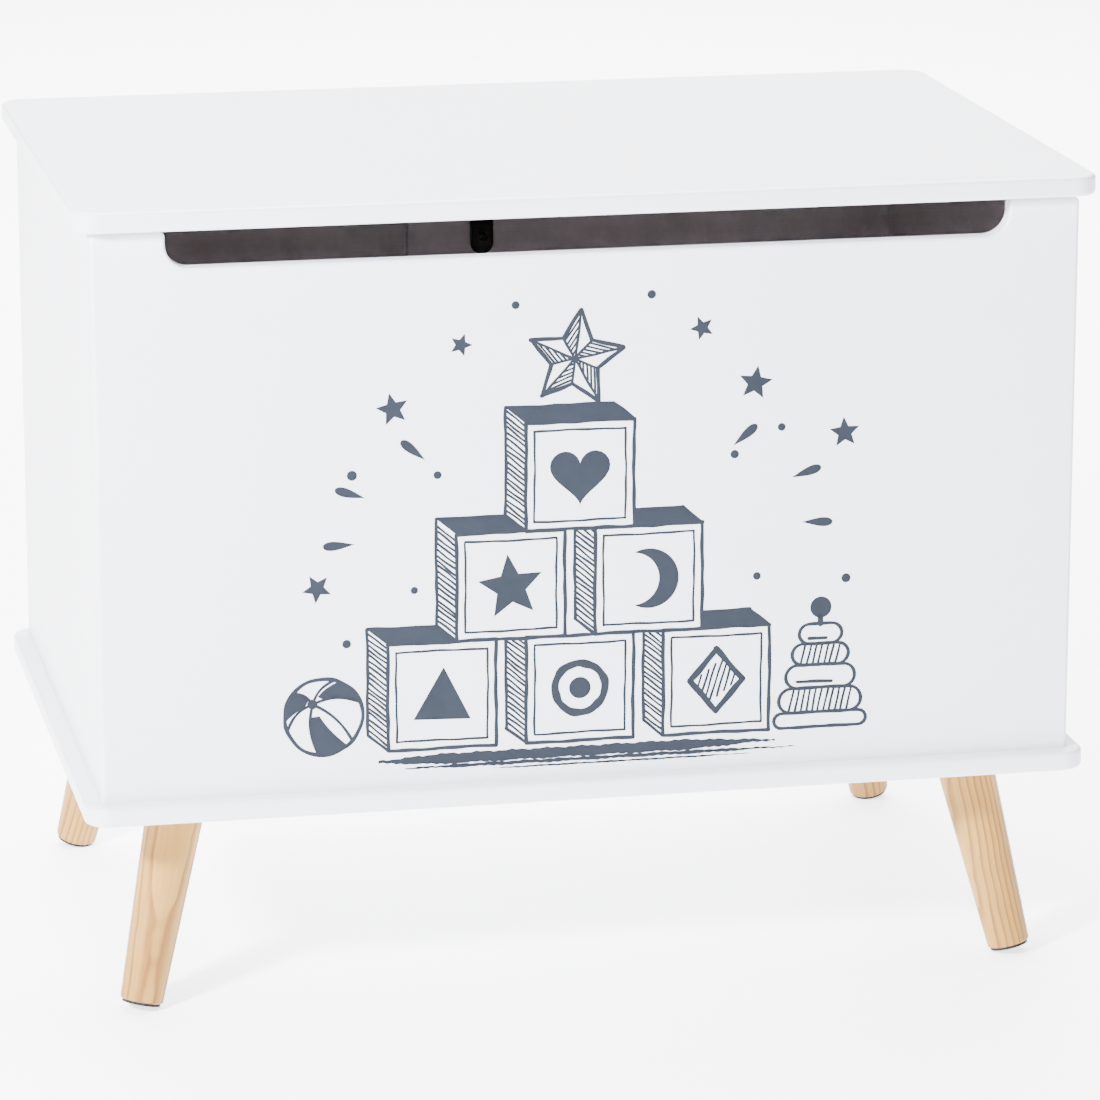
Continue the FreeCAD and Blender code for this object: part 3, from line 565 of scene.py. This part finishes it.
def lathe(profile, steps=40):
    """A closed turned shape from its (radius, height) profile, which starts and ends on the axis."""
    bm = bmesh.new()
    rings = []
    for radius, height in profile:
        if radius < 1e-9:
            rings.append([bm.verts.new((0, 0, height))])
        else:
            circle = arc((0, 0), radius, 0, 360, steps)[:-1]
            rings.append([bm.verts.new((x, y, height)) for x, y in circle])
    for lower, upper in zip(rings, rings[1:]):
        for i in range(steps):
            j = (i + 1) % steps
            if len(lower) == 1:
                bm.faces.new((lower[0], upper[j], upper[i]))
            elif len(upper) == 1:
                bm.faces.new((lower[i], lower[j], upper[0]))
            else:
                bm.faces.new((lower[i], lower[j], upper[j], upper[i]))
    bmesh.ops.recalc_face_normals(bm, faces=bm.faces)
    shade_by_angle(bm, 38)
    return bm


def cross_driver(width, reach, depth, top):
    """The tapered cross that a driver leaves in a screw head."""
    bm = bmesh.new()
    half = width / 2
    arm = [(half, -half), (reach, -half), (reach, half)]
    rings = []
    for height, shrink in ((top - depth, 0.5), (top + depth * 0.5, 1.15)):
        ring = []
        for quarter in range(4):
            turn = Matrix.Rotation(quarter * math.pi / 2, 2)
            for x, y in arm:
                place = turn @ Vector((max(x * shrink, half), y))
                ring.append(bm.verts.new((place.x, place.y, height)))
        rings.append(ring)
    count = len(rings[0])
    bm.faces.new(list(reversed(rings[0])))
    bm.faces.new(rings[1])
    for i in range(count):
        j = (i + 1) % count
        bm.faces.new((rings[0][i], rings[0][j], rings[1][j], rings[1][i]))
    bmesh.ops.recalc_face_normals(bm, faces=bm.faces)
    return bm


def screw_source(head, shank, long, domed):
    """A screw with a cross recess. The head's rim is at height 0 and the shank goes down."""
    dome = head * (0.5 if domed else 0.1)
    cap = [(head * math.sin(t), dome * math.cos(t)) for t in (math.radians(a) for a in range(84, 0, -12))]
    cone_depth = 0.0 if domed else head - shank
    tip = shank * 1.6
    profile = [(0, -long), (shank * 0.25, -long + 0.1 * MM), (shank, -long + tip)]
    turns = int((long - tip - cone_depth) / (1.3 * MM))
    step = (long - tip - cone_depth) / max(turns, 1)
    for i in range(turns):
        base = -long + tip + i * step
        profile += [(radius, base + share * step) for radius, share in
                    ((shank, 0.1), (shank * 0.8, 0.5), (shank, 0.9))]
    profile += [(shank, -cone_depth - 0.01 * MM)]
    profile += [(head * 0.96, -0.02 * MM), (head, 0.0)] + cap + [(0, dome)]
    piece = piece_from(lathe(profile, 28), "screw blank", None)
    tool = piece_from(cross_driver(head * 0.28, head * 0.62, head * 0.45, dome), "driver", None)
    cut = piece.modifiers.new("recess", "BOOLEAN")
    cut.object = tool
    cut.operation = "DIFFERENCE"
    cut.solver = "EXACT"
    mesh = evaluated(piece)
    piece.modifiers.clear()
    piece.data = mesh
    bpy.data.objects.remove(tool, do_unlink=True)
    return piece


def screw_spots(node, along):
    """(place, direction) of every screw in a CAD group: the head's rim is at the end that `along` names."""
    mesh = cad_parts[node].data
    bm = bmesh.new()
    bm.from_mesh(mesh)
    bmesh.ops.remove_doubles(bm, verts=bm.verts, dist=MERGE)
    left = set(bm.verts)
    spots = []
    while left:
        group = [left.pop()]
        for vert in group:
            for edge in vert.link_edges:
                other = edge.other_vert(vert)
                if other in left:
                    left.discard(other)
                    group.append(other)
        low = Vector([min(v.co[i] for v in group) for i in range(3)])
        high = Vector([max(v.co[i] for v in group) for i in range(3)])
        centre = (low + high) / 2
        reach = max((v.co - centre).dot(along) for v in group)
        spots.append((centre + along * reach, along))
    bm.free()
    return sorted(spots, key=lambda spot: tuple(round(c, 4) for c in spot[0]))


# ---- operators: boards ----

class CHEST_OT_boards(bpy.types.Operator):
    """Make the seven lacquered boards"""
    bl_idname = "toychest.boards"
    bl_label = "Lacquered boards"

    def execute(self, context):
        paint = white_lacquer()
        for node in ("base_board", "front_panel", "back_panel", "side_panel_left", "side_panel_right",
                     "stay_rail"):
            stand_in(node, "white_" + node, paint, "chest", "white_lacquer")
        stand_in("lid_board", "white_lid_board", paint, "lid", "white_lacquer")
        return {"FINISHED"}


# ---- operators: legs ----

# Where each leg's pith lies beside the foot, sideways and backwards, and how it leans from there.
# A pith at the side gives straight stripes in front, and one behind gives a tall arch.
LEG_FIGURE = {
    "front_left": ((-0.003, 0.031), (0.03, -0.012)),
    "front_right": ((0.088, 0.012), (0.02, 0.01)),
    "back_left": ((-0.085, -0.01), (0.015, 0.01)),
    "back_right": ((0.07, 0.035), (-0.02, 0.03)),
}


class CHEST_OT_legs(bpy.types.Operator):
    """Make the four turned pine legs and their foot pads"""
    bl_idname = "toychest.legs"
    bl_label = "Pine legs"

    def execute(self, context):
        rubber = black_rubber()
        for spot in CORNERS:
            foot = middle("foot_pad_" + spot)
            top = middle("leg_bolt_" + spot)
            top.z = BASE_LOW.z
            pith, lean = LEG_FIGURE[spot]
            wood = pine(spot, foot, top, pith, lean)
            stand_in("leg_" + spot, "pine_leg_" + spot, wood, "chest", "pine")
            stand_in("foot_pad_" + spot, "rubber_pad_" + spot, rubber, "chest", "black_rubber")
        return {"FINISHED"}


# ---- operators: front drawing ----

class Ink:
    """Flat inked shapes on the front panel, drawn in millimetres: across from the panel's middle
    and up from its lower edge."""

    def __init__(self, look, seed):
        self.bm = bmesh.new()
        self.line_width = look.line / MM
        self.hatch = look.hatch / MM
        self.proud = look.proud
        self.dice = random.Random(seed)
        self.layer = 0

    def at(self, point, raised):
        """A point of the drawing in space, on or just in front of the panel."""
        lift = self.proud + self.layer * 0.0004 * MM if raised else -0.02 * MM
        return (point[0] * MM, FRONT_LOW.y - lift, FRONT_LOW.z + point[1] * MM)

    def fill(self, outline):
        """A solid shape from its outline, anticlockwise."""
        area = sum(a[0] * b[1] - b[0] * a[1] for a, b in zip(outline, outline[1:] + outline[:1]))
        if area < 0:
            outline = list(reversed(outline))
        front = [self.bm.verts.new(self.at(p, True)) for p in outline]
        back = [self.bm.verts.new(self.at(p, False)) for p in outline]
        self.bm.faces.new(front)
        self.bm.faces.new(list(reversed(back)))
        count = len(outline)
        for i in range(count):
            j = (i + 1) % count
            self.bm.faces.new((front[j], front[i], back[i], back[j]))
        self.layer = (self.layer + 1) % 40

    def line(self, points, width=None, wobble=0.22, closed=False):
        """A pen stroke with a slight wobble and an uneven width: round ends, or closed to a ring."""
        width = width or self.line_width
        path = resample(points, 2.0)
        if closed:
            path = path[:-1]
        phases = [self.dice.uniform(0, math.tau) for _ in range(4)]
        left, right = [], []
        last = len(path) - 1
        for i, point in enumerate(path):
            before = path[i - 1] if i or closed else point
            after = path[(i + 1) % len(path)] if i < last or closed else point
            across = (after - before).normalized().orthogonal()
            walk = math.tau * i / len(path) * round(len(path) / 30 + 1) if closed else i * 0.22
            drift = wobble * (math.sin(walk + phases[0]) + 0.5 * math.sin(walk * 3 + phases[1]))
            swell = 1 + 0.1 * math.sin(walk * 2 + phases[2]) + 0.05 * math.sin(walk * 4 + phases[3])
            left.append(point + across * (drift + width / 2 * swell))
            right.append(point + across * (drift - width / 2 * swell))
        if closed:
            self.ring_shape(left, right)
            return
        outline = left + self.cap(left[-1], right[-1], path[-1] - path[-2])
        outline += list(reversed(right)) + self.cap(right[0], left[0], path[0] - path[1])
        self.fill([(p.x, p.y) for p in outline])

    def sides(self, corners, width):
        """A stroke of its own for each side of a closed shape."""
        for start, stop in zip(corners, corners[1:] + corners[:1]):
            self.line([start, stop], width)

    def cap(self, first, last, heading):
        """Points of a round stroke end, from its first side to its last."""
        middle = (first + last) / 2
        side = first - middle
        forward = heading.normalized() * side.length
        turns = (math.radians(angle) for angle in (36, 72, 108, 144))
        return [middle + side * math.cos(t) + forward * math.sin(t) for t in turns]

    def ring_shape(self, left, right):
        """A closed band between two rows of points."""
        rows = []
        for points in (left, right):
            rows.append([self.bm.verts.new(self.at(p, True)) for p in points])
            rows.append([self.bm.verts.new(self.at(p, False)) for p in points])
        left_top, left_low, right_top, right_low = rows
        count = len(left)
        for i in range(count):
            j = (i + 1) % count
            self.bm.faces.new((left_top[i], right_top[i], right_top[j], left_top[j]))
            self.bm.faces.new((left_low[j], right_low[j], right_low[i], left_low[i]))
            self.bm.faces.new((left_low[i], left_top[i], left_top[j], left_low[j]))
            self.bm.faces.new((right_low[j], right_top[j], right_top[i], right_low[i]))
        self.layer = (self.layer + 1) % 40

    def finish(self, name, material):
        """Close the drawing into one piece."""
        bmesh.ops.recalc_face_normals(self.bm, faces=self.bm.faces)
        return piece_from(self.bm, name, material)


def resample(points, step):
    """Points along a polyline about `step` apart, its ends kept."""
    points = [Vector(p) for p in points]
    lengths = [(b - a).length for a, b in zip(points, points[1:])]
    total = sum(lengths)
    count = max(2, round(total / step))
    path = []
    for i in range(count + 1):
        reach = total * i / count
        for a, b, piece in zip(points, points[1:], lengths):
            if reach <= piece + 1e-9:
                path.append(a.lerp(b, min(reach / piece, 1.0)) if piece else a)
                break
            reach -= piece
        else:
            path.append(points[-1])
    return path


def star(centre, radius, turn=0.0, inner=0.45):
    """A five-pointed star's outline."""
    spokes = []
    for i in range(10):
        reach = radius if i % 2 == 0 else radius * inner
        angle = math.radians(90 + turn + 36 * i)
        spokes.append((centre[0] + reach * math.cos(angle), centre[1] + reach * math.sin(angle)))
    return spokes


def drop(centre, long, turn):
    """A drop's outline, its point towards `turn` degrees."""
    outline = []
    for i in range(24):
        t = math.tau * i / 24
        x = -math.cos(t) * long / 2
        y = math.sin(t) * math.sin(t / 2) ** 1.6 * long * 0.21
        spin = math.radians(turn + 180)
        outline.append((centre[0] + x * math.cos(spin) - y * math.sin(spin),
                        centre[1] + x * math.sin(spin) + y * math.cos(spin)))
    return outline


# The stack in the drawing, in millimetres: a block's side, the step from block to block, the
# stack's middle, the blocks' lowest edge, and how a block's depth runs back.
BLOCK = 64
PITCH = 82
MIDDLE = -8
FLOOR = 22
DEPTH = (-12, 10)


class CHEST_OT_drawing(bpy.types.Operator):
    """Ink the drawing of stacked toy blocks, a ball and stacking rings on the front"""
    bl_idname = "toychest.drawing"
    bl_label = "Front drawing"

    def execute(self, context):
        look = settings().drawing
        ink = Ink(look, 11)
        self.blocks(ink)
        self.big_star(ink)
        self.ball(ink, (-160, FLOOR + 23), 23)
        self.rings(ink, 137)
        self.sparkle(ink)
        self.ground(ink)
        settle(ink.finish("front_drawing", front_ink()), "chest", "white_lacquer")
        return {"FINISHED"}

    def ground(self, ink):
        """A dry brush stroke under the stack."""
        strokes = ((-128, 110, 15.5, 6.4), (-112, 122, 10.8, 2.2), (-60, 94, 8.0, 1.1))
        for left, right, height, thick in strokes:
            count = 90
            top, low = [], []
            phases = [ink.dice.uniform(0, math.tau) for _ in range(4)]
            for i in range(count + 1):
                x = left + (right - left) * i / count
                swell = min(1.0, 5.0 * i / count + 0.25, 4.0 * (count - i) / count + 0.12)
                rough = 0.35 * math.sin(x * 0.9 + phases[0]) + 0.3 * math.sin(x * 0.31 + phases[1])
                ragged = 0.35 * math.sin(x * 1.3 + phases[2]) + 0.3 * math.sin(x * 0.23 + phases[3])
                top.append((x, height + thick / 2 * swell + rough * min(1.0, thick / 3)))
                low.append((x, height - thick / 2 * swell + ragged * min(1.0, thick / 3)))
            ink.fill(low + list(reversed(top)))

    def blocks(self, ink):
        """Three rows of blocks. What a row above covers isn't drawn."""
        rows = [[MIDDLE + PITCH * (i - (2 - row) / 2) for i in range(3 - row)] for row in range(3)]
        marks = iter((self.triangle, self.disc, self.diamond, self.small_star, self.moon, self.heart))
        for row, centres in enumerate(rows):
            above = rows[row + 1] if row < 2 else []
            for centre in centres:
                left, low = centre - BLOCK / 2, FLOOR + row * BLOCK
                covers = [(c - BLOCK / 2, c + BLOCK / 2) for c in above]
                self.block(ink, left, low, covers)
                next(marks)(ink, centre, low + BLOCK / 2)

    def block(self, ink, left, low, covers):
        """One block: an outlined front, a hatched left side and a dark top where it shows."""
        right, high = left + BLOCK, low + BLOCK
        dx, dy = DEPTH
        corners = [(left, low), (right, low), (right, high), (left, high)]
        ink.sides(corners, ink.line_width * 1.15)
        inset = 5
        ink.sides([(left + inset, low + inset), (right - inset, low + inset),
                   (right - inset, high - inset), (left + inset, high - inset)], ink.line_width * 0.7)
        ink.line([(left, low), (left + dx, low + dy)])
        covered = any(start < left < stop for start, stop in covers)
        brim = high - 1.0 if covered else high + dy
        ink.line([(left + dx, low + dy), (left + dx, brim)])
        rise = low + ink.hatch
        while rise < high - 1.5:
            share = min(1.0, (brim - rise) / dy)
            ink.line([(left, rise), (left + dx * share, rise + dy * share)], ink.line_width * 0.72, 0.3)
            rise += ink.hatch * ink.dice.uniform(0.85, 1.15)
        self.top(ink, left, right, high, covers)

    def top(self, ink, left, right, high, covers):
        """The parts of a block's top that no block stands on."""
        dx, dy = DEPTH
        start = left
        pieces = []
        for cover_left, cover_right in covers:
            if start < cover_left < right:
                pieces.append([(start, high), (cover_left, high),
                               (cover_left + dx, high + dy), (start + dx, high + dy)])
            if cover_left < right:
                start = max(start, cover_right)
        if start < right - 1:
            back = start if start > left else start + dx
            pieces.append([(start, high), (right, high), (right + dx, high + dy), (back, high + dy)])
        for outline in pieces:
            if outline[1][0] - outline[0][0] > BLOCK * 0.4:
                ink.fill(outline)
                ink.line([outline[3], outline[2]], ink.line_width)
                ink.line([outline[1], outline[2]], ink.line_width)

    def triangle(self, ink, x, y):
        corners = [(x - 17, y - 14), (x + 17, y - 15), (x + 1, y + 17)]
        ink.fill(corners)

    def disc(self, ink, x, y):
        ink.line(arc((x, y), 15, 90, 450, 40), 4.6, 0.25, closed=True)
        ink.fill(arc((x, y), 6.5, 0, 345, 22))

    def diamond(self, ink, x, y):
        corners = [(x, y - 19), (x + 16, y), (x, y + 19), (x - 16, y)]
        ink.sides(corners, 3.6)
        for step in range(-3, 4):
            reach = 13 - abs(step) * 3.2
            across, lean = x + step * 3.3, reach * 0.3
            ink.line([(across - lean, y - reach), (across + lean, y + reach)], ink.line_width * 0.7)

    def small_star(self, ink, x, y):
        ink.fill(star((x, y - 1), 20, 6))

    def moon(self, ink, x, y):
        outer = arc((x, y), 18, -117, 117, 30)
        inner = arc((x - 9.5, y), 15.8, 85, -85, 24)
        ink.fill(outer + inner)

    def heart(self, ink, x, y):
        outline = []
        for i in range(40):
            t = math.tau * i / 40
            across = 16 * math.sin(t) ** 3
            up = 13 * math.cos(t) - 5 * math.cos(2 * t) - 2 * math.cos(3 * t) - math.cos(4 * t)
            outline.append((x + across * 1.12, y + 1 + up * 1.12))
        ink.fill(outline)

    def big_star(self, ink):
        """An outlined, half-hatched star on the top block."""
        centre = (MIDDLE - 3, FLOOR + 3 * BLOCK + 37)
        outline = star(centre, 29, -7, 0.5)
        ink.sides(outline, ink.line_width * 1.25)
        for i in range(0, 10, 2):
            tip, valley = outline[i], outline[(i + 1) % 10]
            ink.line([centre, tip], ink.line_width * 0.8)
            ink.line([centre, valley], ink.line_width * 0.8)
            for step in (0.2, 0.36, 0.52, 0.68, 0.84):
                start = Vector(centre).lerp(Vector(tip), step)
                stop = Vector(centre).lerp(Vector(valley), step)
                ink.line([start, stop], ink.line_width * 0.66, 0.15)

    def ball(self, ink, centre, radius):
        """A beach ball: panels that meet at a small button."""
        x, y = centre
        ink.line(arc(centre, radius, 100, 460, 60), ink.line_width * 1.2, 0.3, closed=True)
        button = (x - radius * 0.28, y + radius * 0.34)
        ink.fill(arc(button, radius * 0.13, 0, 340, 17))
        for start, bend, dark in ((20, 9, True), (72, 7, False), (140, -6, True), (200, -8, False),
                                  (262, -9, True), (318, 8, False)):
            seam = self.seam(centre, radius, button, start, bend)
            ink.line(seam, ink.line_width * 0.9, 0.1)
            if dark:
                other = self.seam(centre, radius, button, start + 46, bend * 0.6)
                rim = arc(centre, radius * 0.99, start, start + 46, 8)
                ink.fill(seam[3:] + rim + list(reversed(other[3:])))

    def seam(self, centre, radius, button, angle, bend):
        """A curved seam from the button to the rim."""
        turn = math.radians(angle)
        stop = Vector((centre[0] + radius * math.cos(turn), centre[1] + radius * math.sin(turn)))
        start = Vector(button)
        bow = (stop - start).normalized().orthogonal() * bend * 0.35
        points = [start.lerp(stop, i / 12) + bow * math.sin(math.pi * i / 12) for i in range(13)]
        return [(p.x, p.y) for p in points]

    def rings(self, ink, x):
        """Stacking rings on their foot."""
        self.ring(ink, x, FLOOR + 4.5, 28, 4.5, False)
        level = FLOOR + 9
        for half, thick, hatched in ((25, 7.5, True), (21, 7, False), (17, 6.5, True), (13, 6, False)):
            self.ring(ink, x, level + thick, half, thick, hatched)
            level += 2 * thick
        ink.line([(x, level), (x, level + 5)], 4.0)
        ink.fill(arc((x, level + 10), 6.5, 0, 345, 22))

    def ring(self, ink, x, y, half, thick, hatched):
        """One ring seen from the side: a long round-ended outline."""
        reach = half - thick
        outline = arc((x + reach, y), thick, -90, 90, 12) + arc((x - reach, y), thick, 90, 270, 12)
        outline.append(outline[0])
        ink.line(outline, ink.line_width * 1.1, 0.1, closed=True)
        if hatched:
            count = int(2 * reach / ink.hatch)
            for i in range(count + 1):
                start = x - reach + i * 2 * reach / count
                ink.line([(start - 1.5, y - thick), (start + 1.5, y + thick)], ink.line_width * 0.72, 0.2)
        elif thick > 5:
            ink.line([(x - reach, y - thick * 0.45), (x + reach * 0.5, y - thick * 0.45)], ink.line_width)

    def sparkle(self, ink):
        """Small stars, drops and dots scattered round the stack."""
        for x, y, radius, turn in ((-118, 226, 10, 12), (96, 232, 10.5, -9), (-163, 122, 9, 30),
                                   (150, 200, 9.5, 4), (-78, 262, 7, -20), (64, 266, 7.5, 22)):
            ink.fill(star((x, y), radius, turn))
        hub = (MIDDLE, 150)
        for angle in (18, 40, 140, 162, 182, -2):
            reach = 128 if angle in (40, 140) else 142
            turn = math.radians(angle)
            centre = (hub[0] + reach * math.cos(turn), hub[1] + reach * 0.62 * math.sin(turn))
            ink.fill(drop(centre, 19, angle + 180))
        for x, y, radius in ((-142, 188, 3), (-92, 186, 2.4), (84, 190, 2.6), (112, 205, 2.4),
                             (-146, 88, 2.6), (-106, 118, 2.2), (98, 116, 2.4), (152, 112, 2.8),
                             (-46, 284, 2.4), (34, 287, 2.6)):
            ink.fill(arc((x, y), radius, 0, 340, 17))


# ---- operators: hardware ----

# Screws: head radius, shank radius and length in millimetres, and whether the head is domed.
SMALL_SCREW = (2.55, 1.38, 10, False)
STRAP_SCREW = (3.2, 1.4, 18.6, True)
BASE_SCREW = (3.95, 1.98, 35, False)
BUMPER_RADIUS = 3.6 * MM
BUMPER_HIGH = 1.8 * MM


class CHEST_OT_hinges(bpy.types.Operator):
    """Make the two butt hinges and their screws"""
    bl_idname = "toychest.hinges"
    bl_label = "Butt hinges"

    def execute(self, context):
        zinc = zinc_plate()
        for side in ("left", "right"):
            for part, body in (("case_leaf", "chest"), ("lid_leaf", "lid"), ("pin", "chest")):
                node = f"hinge_{side}_{part}"
                stand_in(node, "steel_" + node, zinc, body, "zinc_steel")
        for node, body, up in (("case_hinge_screws", "chest", 1), ("lid_hinge_screws", "lid", -1)):
            add_screws(node, body, Vector((0, 0, up)), SMALL_SCREW, zinc, "zinc_steel")
        return {"FINISHED"}


def add_screws(node, body, along, shape, material, slot, seed=3):
    """Screws in place of a CAD group, their driver crosses turned at random."""
    head, shank, long, domed = shape
    source = screw_source(head * MM, shank * MM, long * MM, domed)
    sink = head * 0.5 if domed else 0.3
    spots = [(place - along * sink * MM, facing) for place, facing in screw_spots(node, along)]
    piece = repeated("fixed_" + node, source, spots, material, spin=math.pi, seed=seed)
    settle(piece, body, slot, node)


class CHEST_OT_stay(bpy.types.Operator):
    """Make the torsion stay and its screws"""
    bl_idname = "toychest.stay"
    bl_label = "Torsion stay"

    def execute(self, context):
        black = black_coat()
        for part, body in (("strap", "chest"), ("barrel", "chest"), ("spindle", "lid"), ("lid_arm", "lid")):
            node = "stay_" + part
            stand_in(node, "black_" + node, black, body, "black_steel")
        forward, down = Vector((0, -1, 0)), Vector((0, 0, -1))
        add_screws("strap_screws", "chest", forward, STRAP_SCREW, black, "black_steel")
        add_screws("stay_arm_screws", "lid", down, SMALL_SCREW, black, "black_steel", 9)
        return {"FINISHED"}


class CHEST_OT_fixings(bpy.types.Operator):
    """Make leg bolts, tee nuts, base screws, dowels and bumpers"""
    bl_idname = "toychest.fixings"
    bl_label = "Fixings"

    def execute(self, context):
        zinc = zinc_plate()
        for spot in CORNERS:
            for node in ("leg_bolt_" + spot, "tee_nut_" + spot):
                stand_in(node, "zinc_" + node, zinc, "chest", "zinc_steel")
        down = Vector((0, 0, -1))
        add_screws("base_screws", "chest", down, BASE_SCREW, zinc, "zinc_steel", 5)
        stand_in("corner_dowels", "beech_dowels", beech(), "chest", "beech")
        self.bumpers(black_rubber())
        return {"FINISHED"}

    def bumpers(self, rubber):
        """Low domed bumpers on the side panels."""
        radius, high = BUMPER_RADIUS, BUMPER_HIGH
        dome = [(radius * math.cos(t), high * (0.35 + 0.65 * math.sin(t))) for t in
                (math.radians(a) for a in range(0, 90, 15))]
        source = piece_from(lathe([(0, 0), (radius, 0)] + dome + [(0, high)], 28), "bumper", rubber)
        up = Vector((0, 0, 1))
        spots = [(place - up * high, up) for place, _ in screw_spots("lid_bumpers", up)]
        settle(repeated("rubber_bumpers", source, spots, rubber), "chest", "black_rubber", "lid_bumpers")


# ---- operators: stage ----

# The camera stands three metres in front, a little to the left and above the lid, and looks
# right and down.
EYE = Vector((-0.631, -3.134, 1.041))
HEADING = math.radians(11.635)
DIP = math.radians(-14.336)

# Each lamp's place, what it is aimed at, the side of its square and its tint.
COOL = (0.96, 0.97, 1.0)
LAMPS = {
    "key": ((-1.4, -1.3, 1.22), (0.0, -0.1, 0.3), 0.26, COOL),
    "overhead": ((0.0, 0.3, 2.3), (0.0, 0.25, 0.0), 1.7, COOL),
    "behind": ((0.4, 2.6, 2.7), (0.4, 2.6, 0.0), 3.4, (1.0, 1.0, 1.0)),
}
FLOOR_REACH = 30.0


class CHEST_OT_stage(bpy.types.Operator):
    """Set the floor, the lights and the camera"""
    bl_idname = "toychest.stage"
    bl_label = "Studio"

    def execute(self, context):
        look = settings().stage
        self.floor()
        self.world(look)
        for (name, lamp), strength in zip(LAMPS.items(), (look.key, look.top, look.back)):
            self.lamp(name, strength, *lamp)
        self.camera(look)
        return {"FINISHED"}

    def floor(self):
        """A wide pale floor."""
        bm = bmesh.new()
        bm.faces.new([bm.verts.new((x * FLOOR_REACH, y * FLOOR_REACH, 0.0)) for x, y in
                      ((-1, -1), (1, -1), (1, 1), (-1, 1))])
        piece_from(bm, "studio_floor", pale_floor())

    def world(self, look):
        """A plain white surround."""
        world = bpy.data.worlds.new("white surround")
        world.use_nodes = True
        graph = Graph(world.node_tree)
        sockets = {"Color": (0.97, 0.98, 1.0, 1), "Strength": look.sky}
        glow = graph.add("ShaderNodeBackground", None, sockets)
        graph.add("ShaderNodeOutputWorld", None, {"Surface": glow})
        bpy.context.scene.world = world

    def lamp(self, name, strength, place, target, size, tint):
        """A large soft area light aimed at a point."""
        light = bpy.data.lights.new(name, "AREA")
        light.shape = "SQUARE"
        light.size = size
        light.energy = strength
        light.color = tint
        lamp = bpy.data.objects.new(name, light)
        lamp.location = place
        aim = Vector(target) - Vector(place)
        lamp.rotation_euler = aim.to_track_quat("-Z", "Y").to_euler()
        bpy.context.scene.collection.objects.link(lamp)

    def camera(self, look):
        """A long lens, a little left of the middle and above the lid."""
        data = bpy.data.cameras.new("camera")
        data.sensor_width = 36
        data.lens = look.lens
        data.clip_end = 100
        camera = bpy.data.objects.new("camera", data)
        camera.location = EYE
        level = math.cos(DIP)
        forward = Vector((math.sin(HEADING) * level, math.cos(HEADING) * level, math.sin(DIP)))
        camera.rotation_euler = forward.to_track_quat("-Z", "Y").to_euler()
        bpy.context.scene.collection.objects.link(camera)
        bpy.context.scene.camera = camera


# ---- add-on ----

MAKERS = (CHEST_OT_boards, CHEST_OT_legs, CHEST_OT_drawing, CHEST_OT_hinges, CHEST_OT_stay,
          CHEST_OT_fixings, CHEST_OT_stage)


class CHEST_PT_panel(bpy.types.Panel):
    """The chest's makers and settings"""
    bl_label = "Toy chest"
    bl_idname = "CHEST_PT_panel"
    bl_space_type = "VIEW_3D"
    bl_region_type = "UI"
    bl_category = "Toy chest"

    def draw(self, context):
        for maker in MAKERS:
            self.layout.operator(maker.bl_idname)
        look = context.scene.toy_chest
        for group in (look.lacquer, look.legs, look.drawing, look.hardware, look.stage):
            box = self.layout.box()
            for name in group.__annotations__:
                box.prop(group, name)


CLASSES = (LacquerSettings, LegSettings, PrintSettings, HardwareSettings, StageSettings, ChestSettings,
           *MAKERS, CHEST_PT_panel)


def register():
    for item in CLASSES:
        bpy.utils.register_class(item)
    bpy.types.Scene.toy_chest = bpy.props.PointerProperty(type=ChestSettings)


def unregister():
    del bpy.types.Scene.toy_chest
    for item in reversed(CLASSES):
        bpy.utils.unregister_class(item)


def main():
    """Register the add-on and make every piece."""
    register()
    for maker in MAKERS:
        getattr(bpy.ops.toychest, maker.bl_idname.split(".")[1])()


if __name__ == "__main__":
    main()
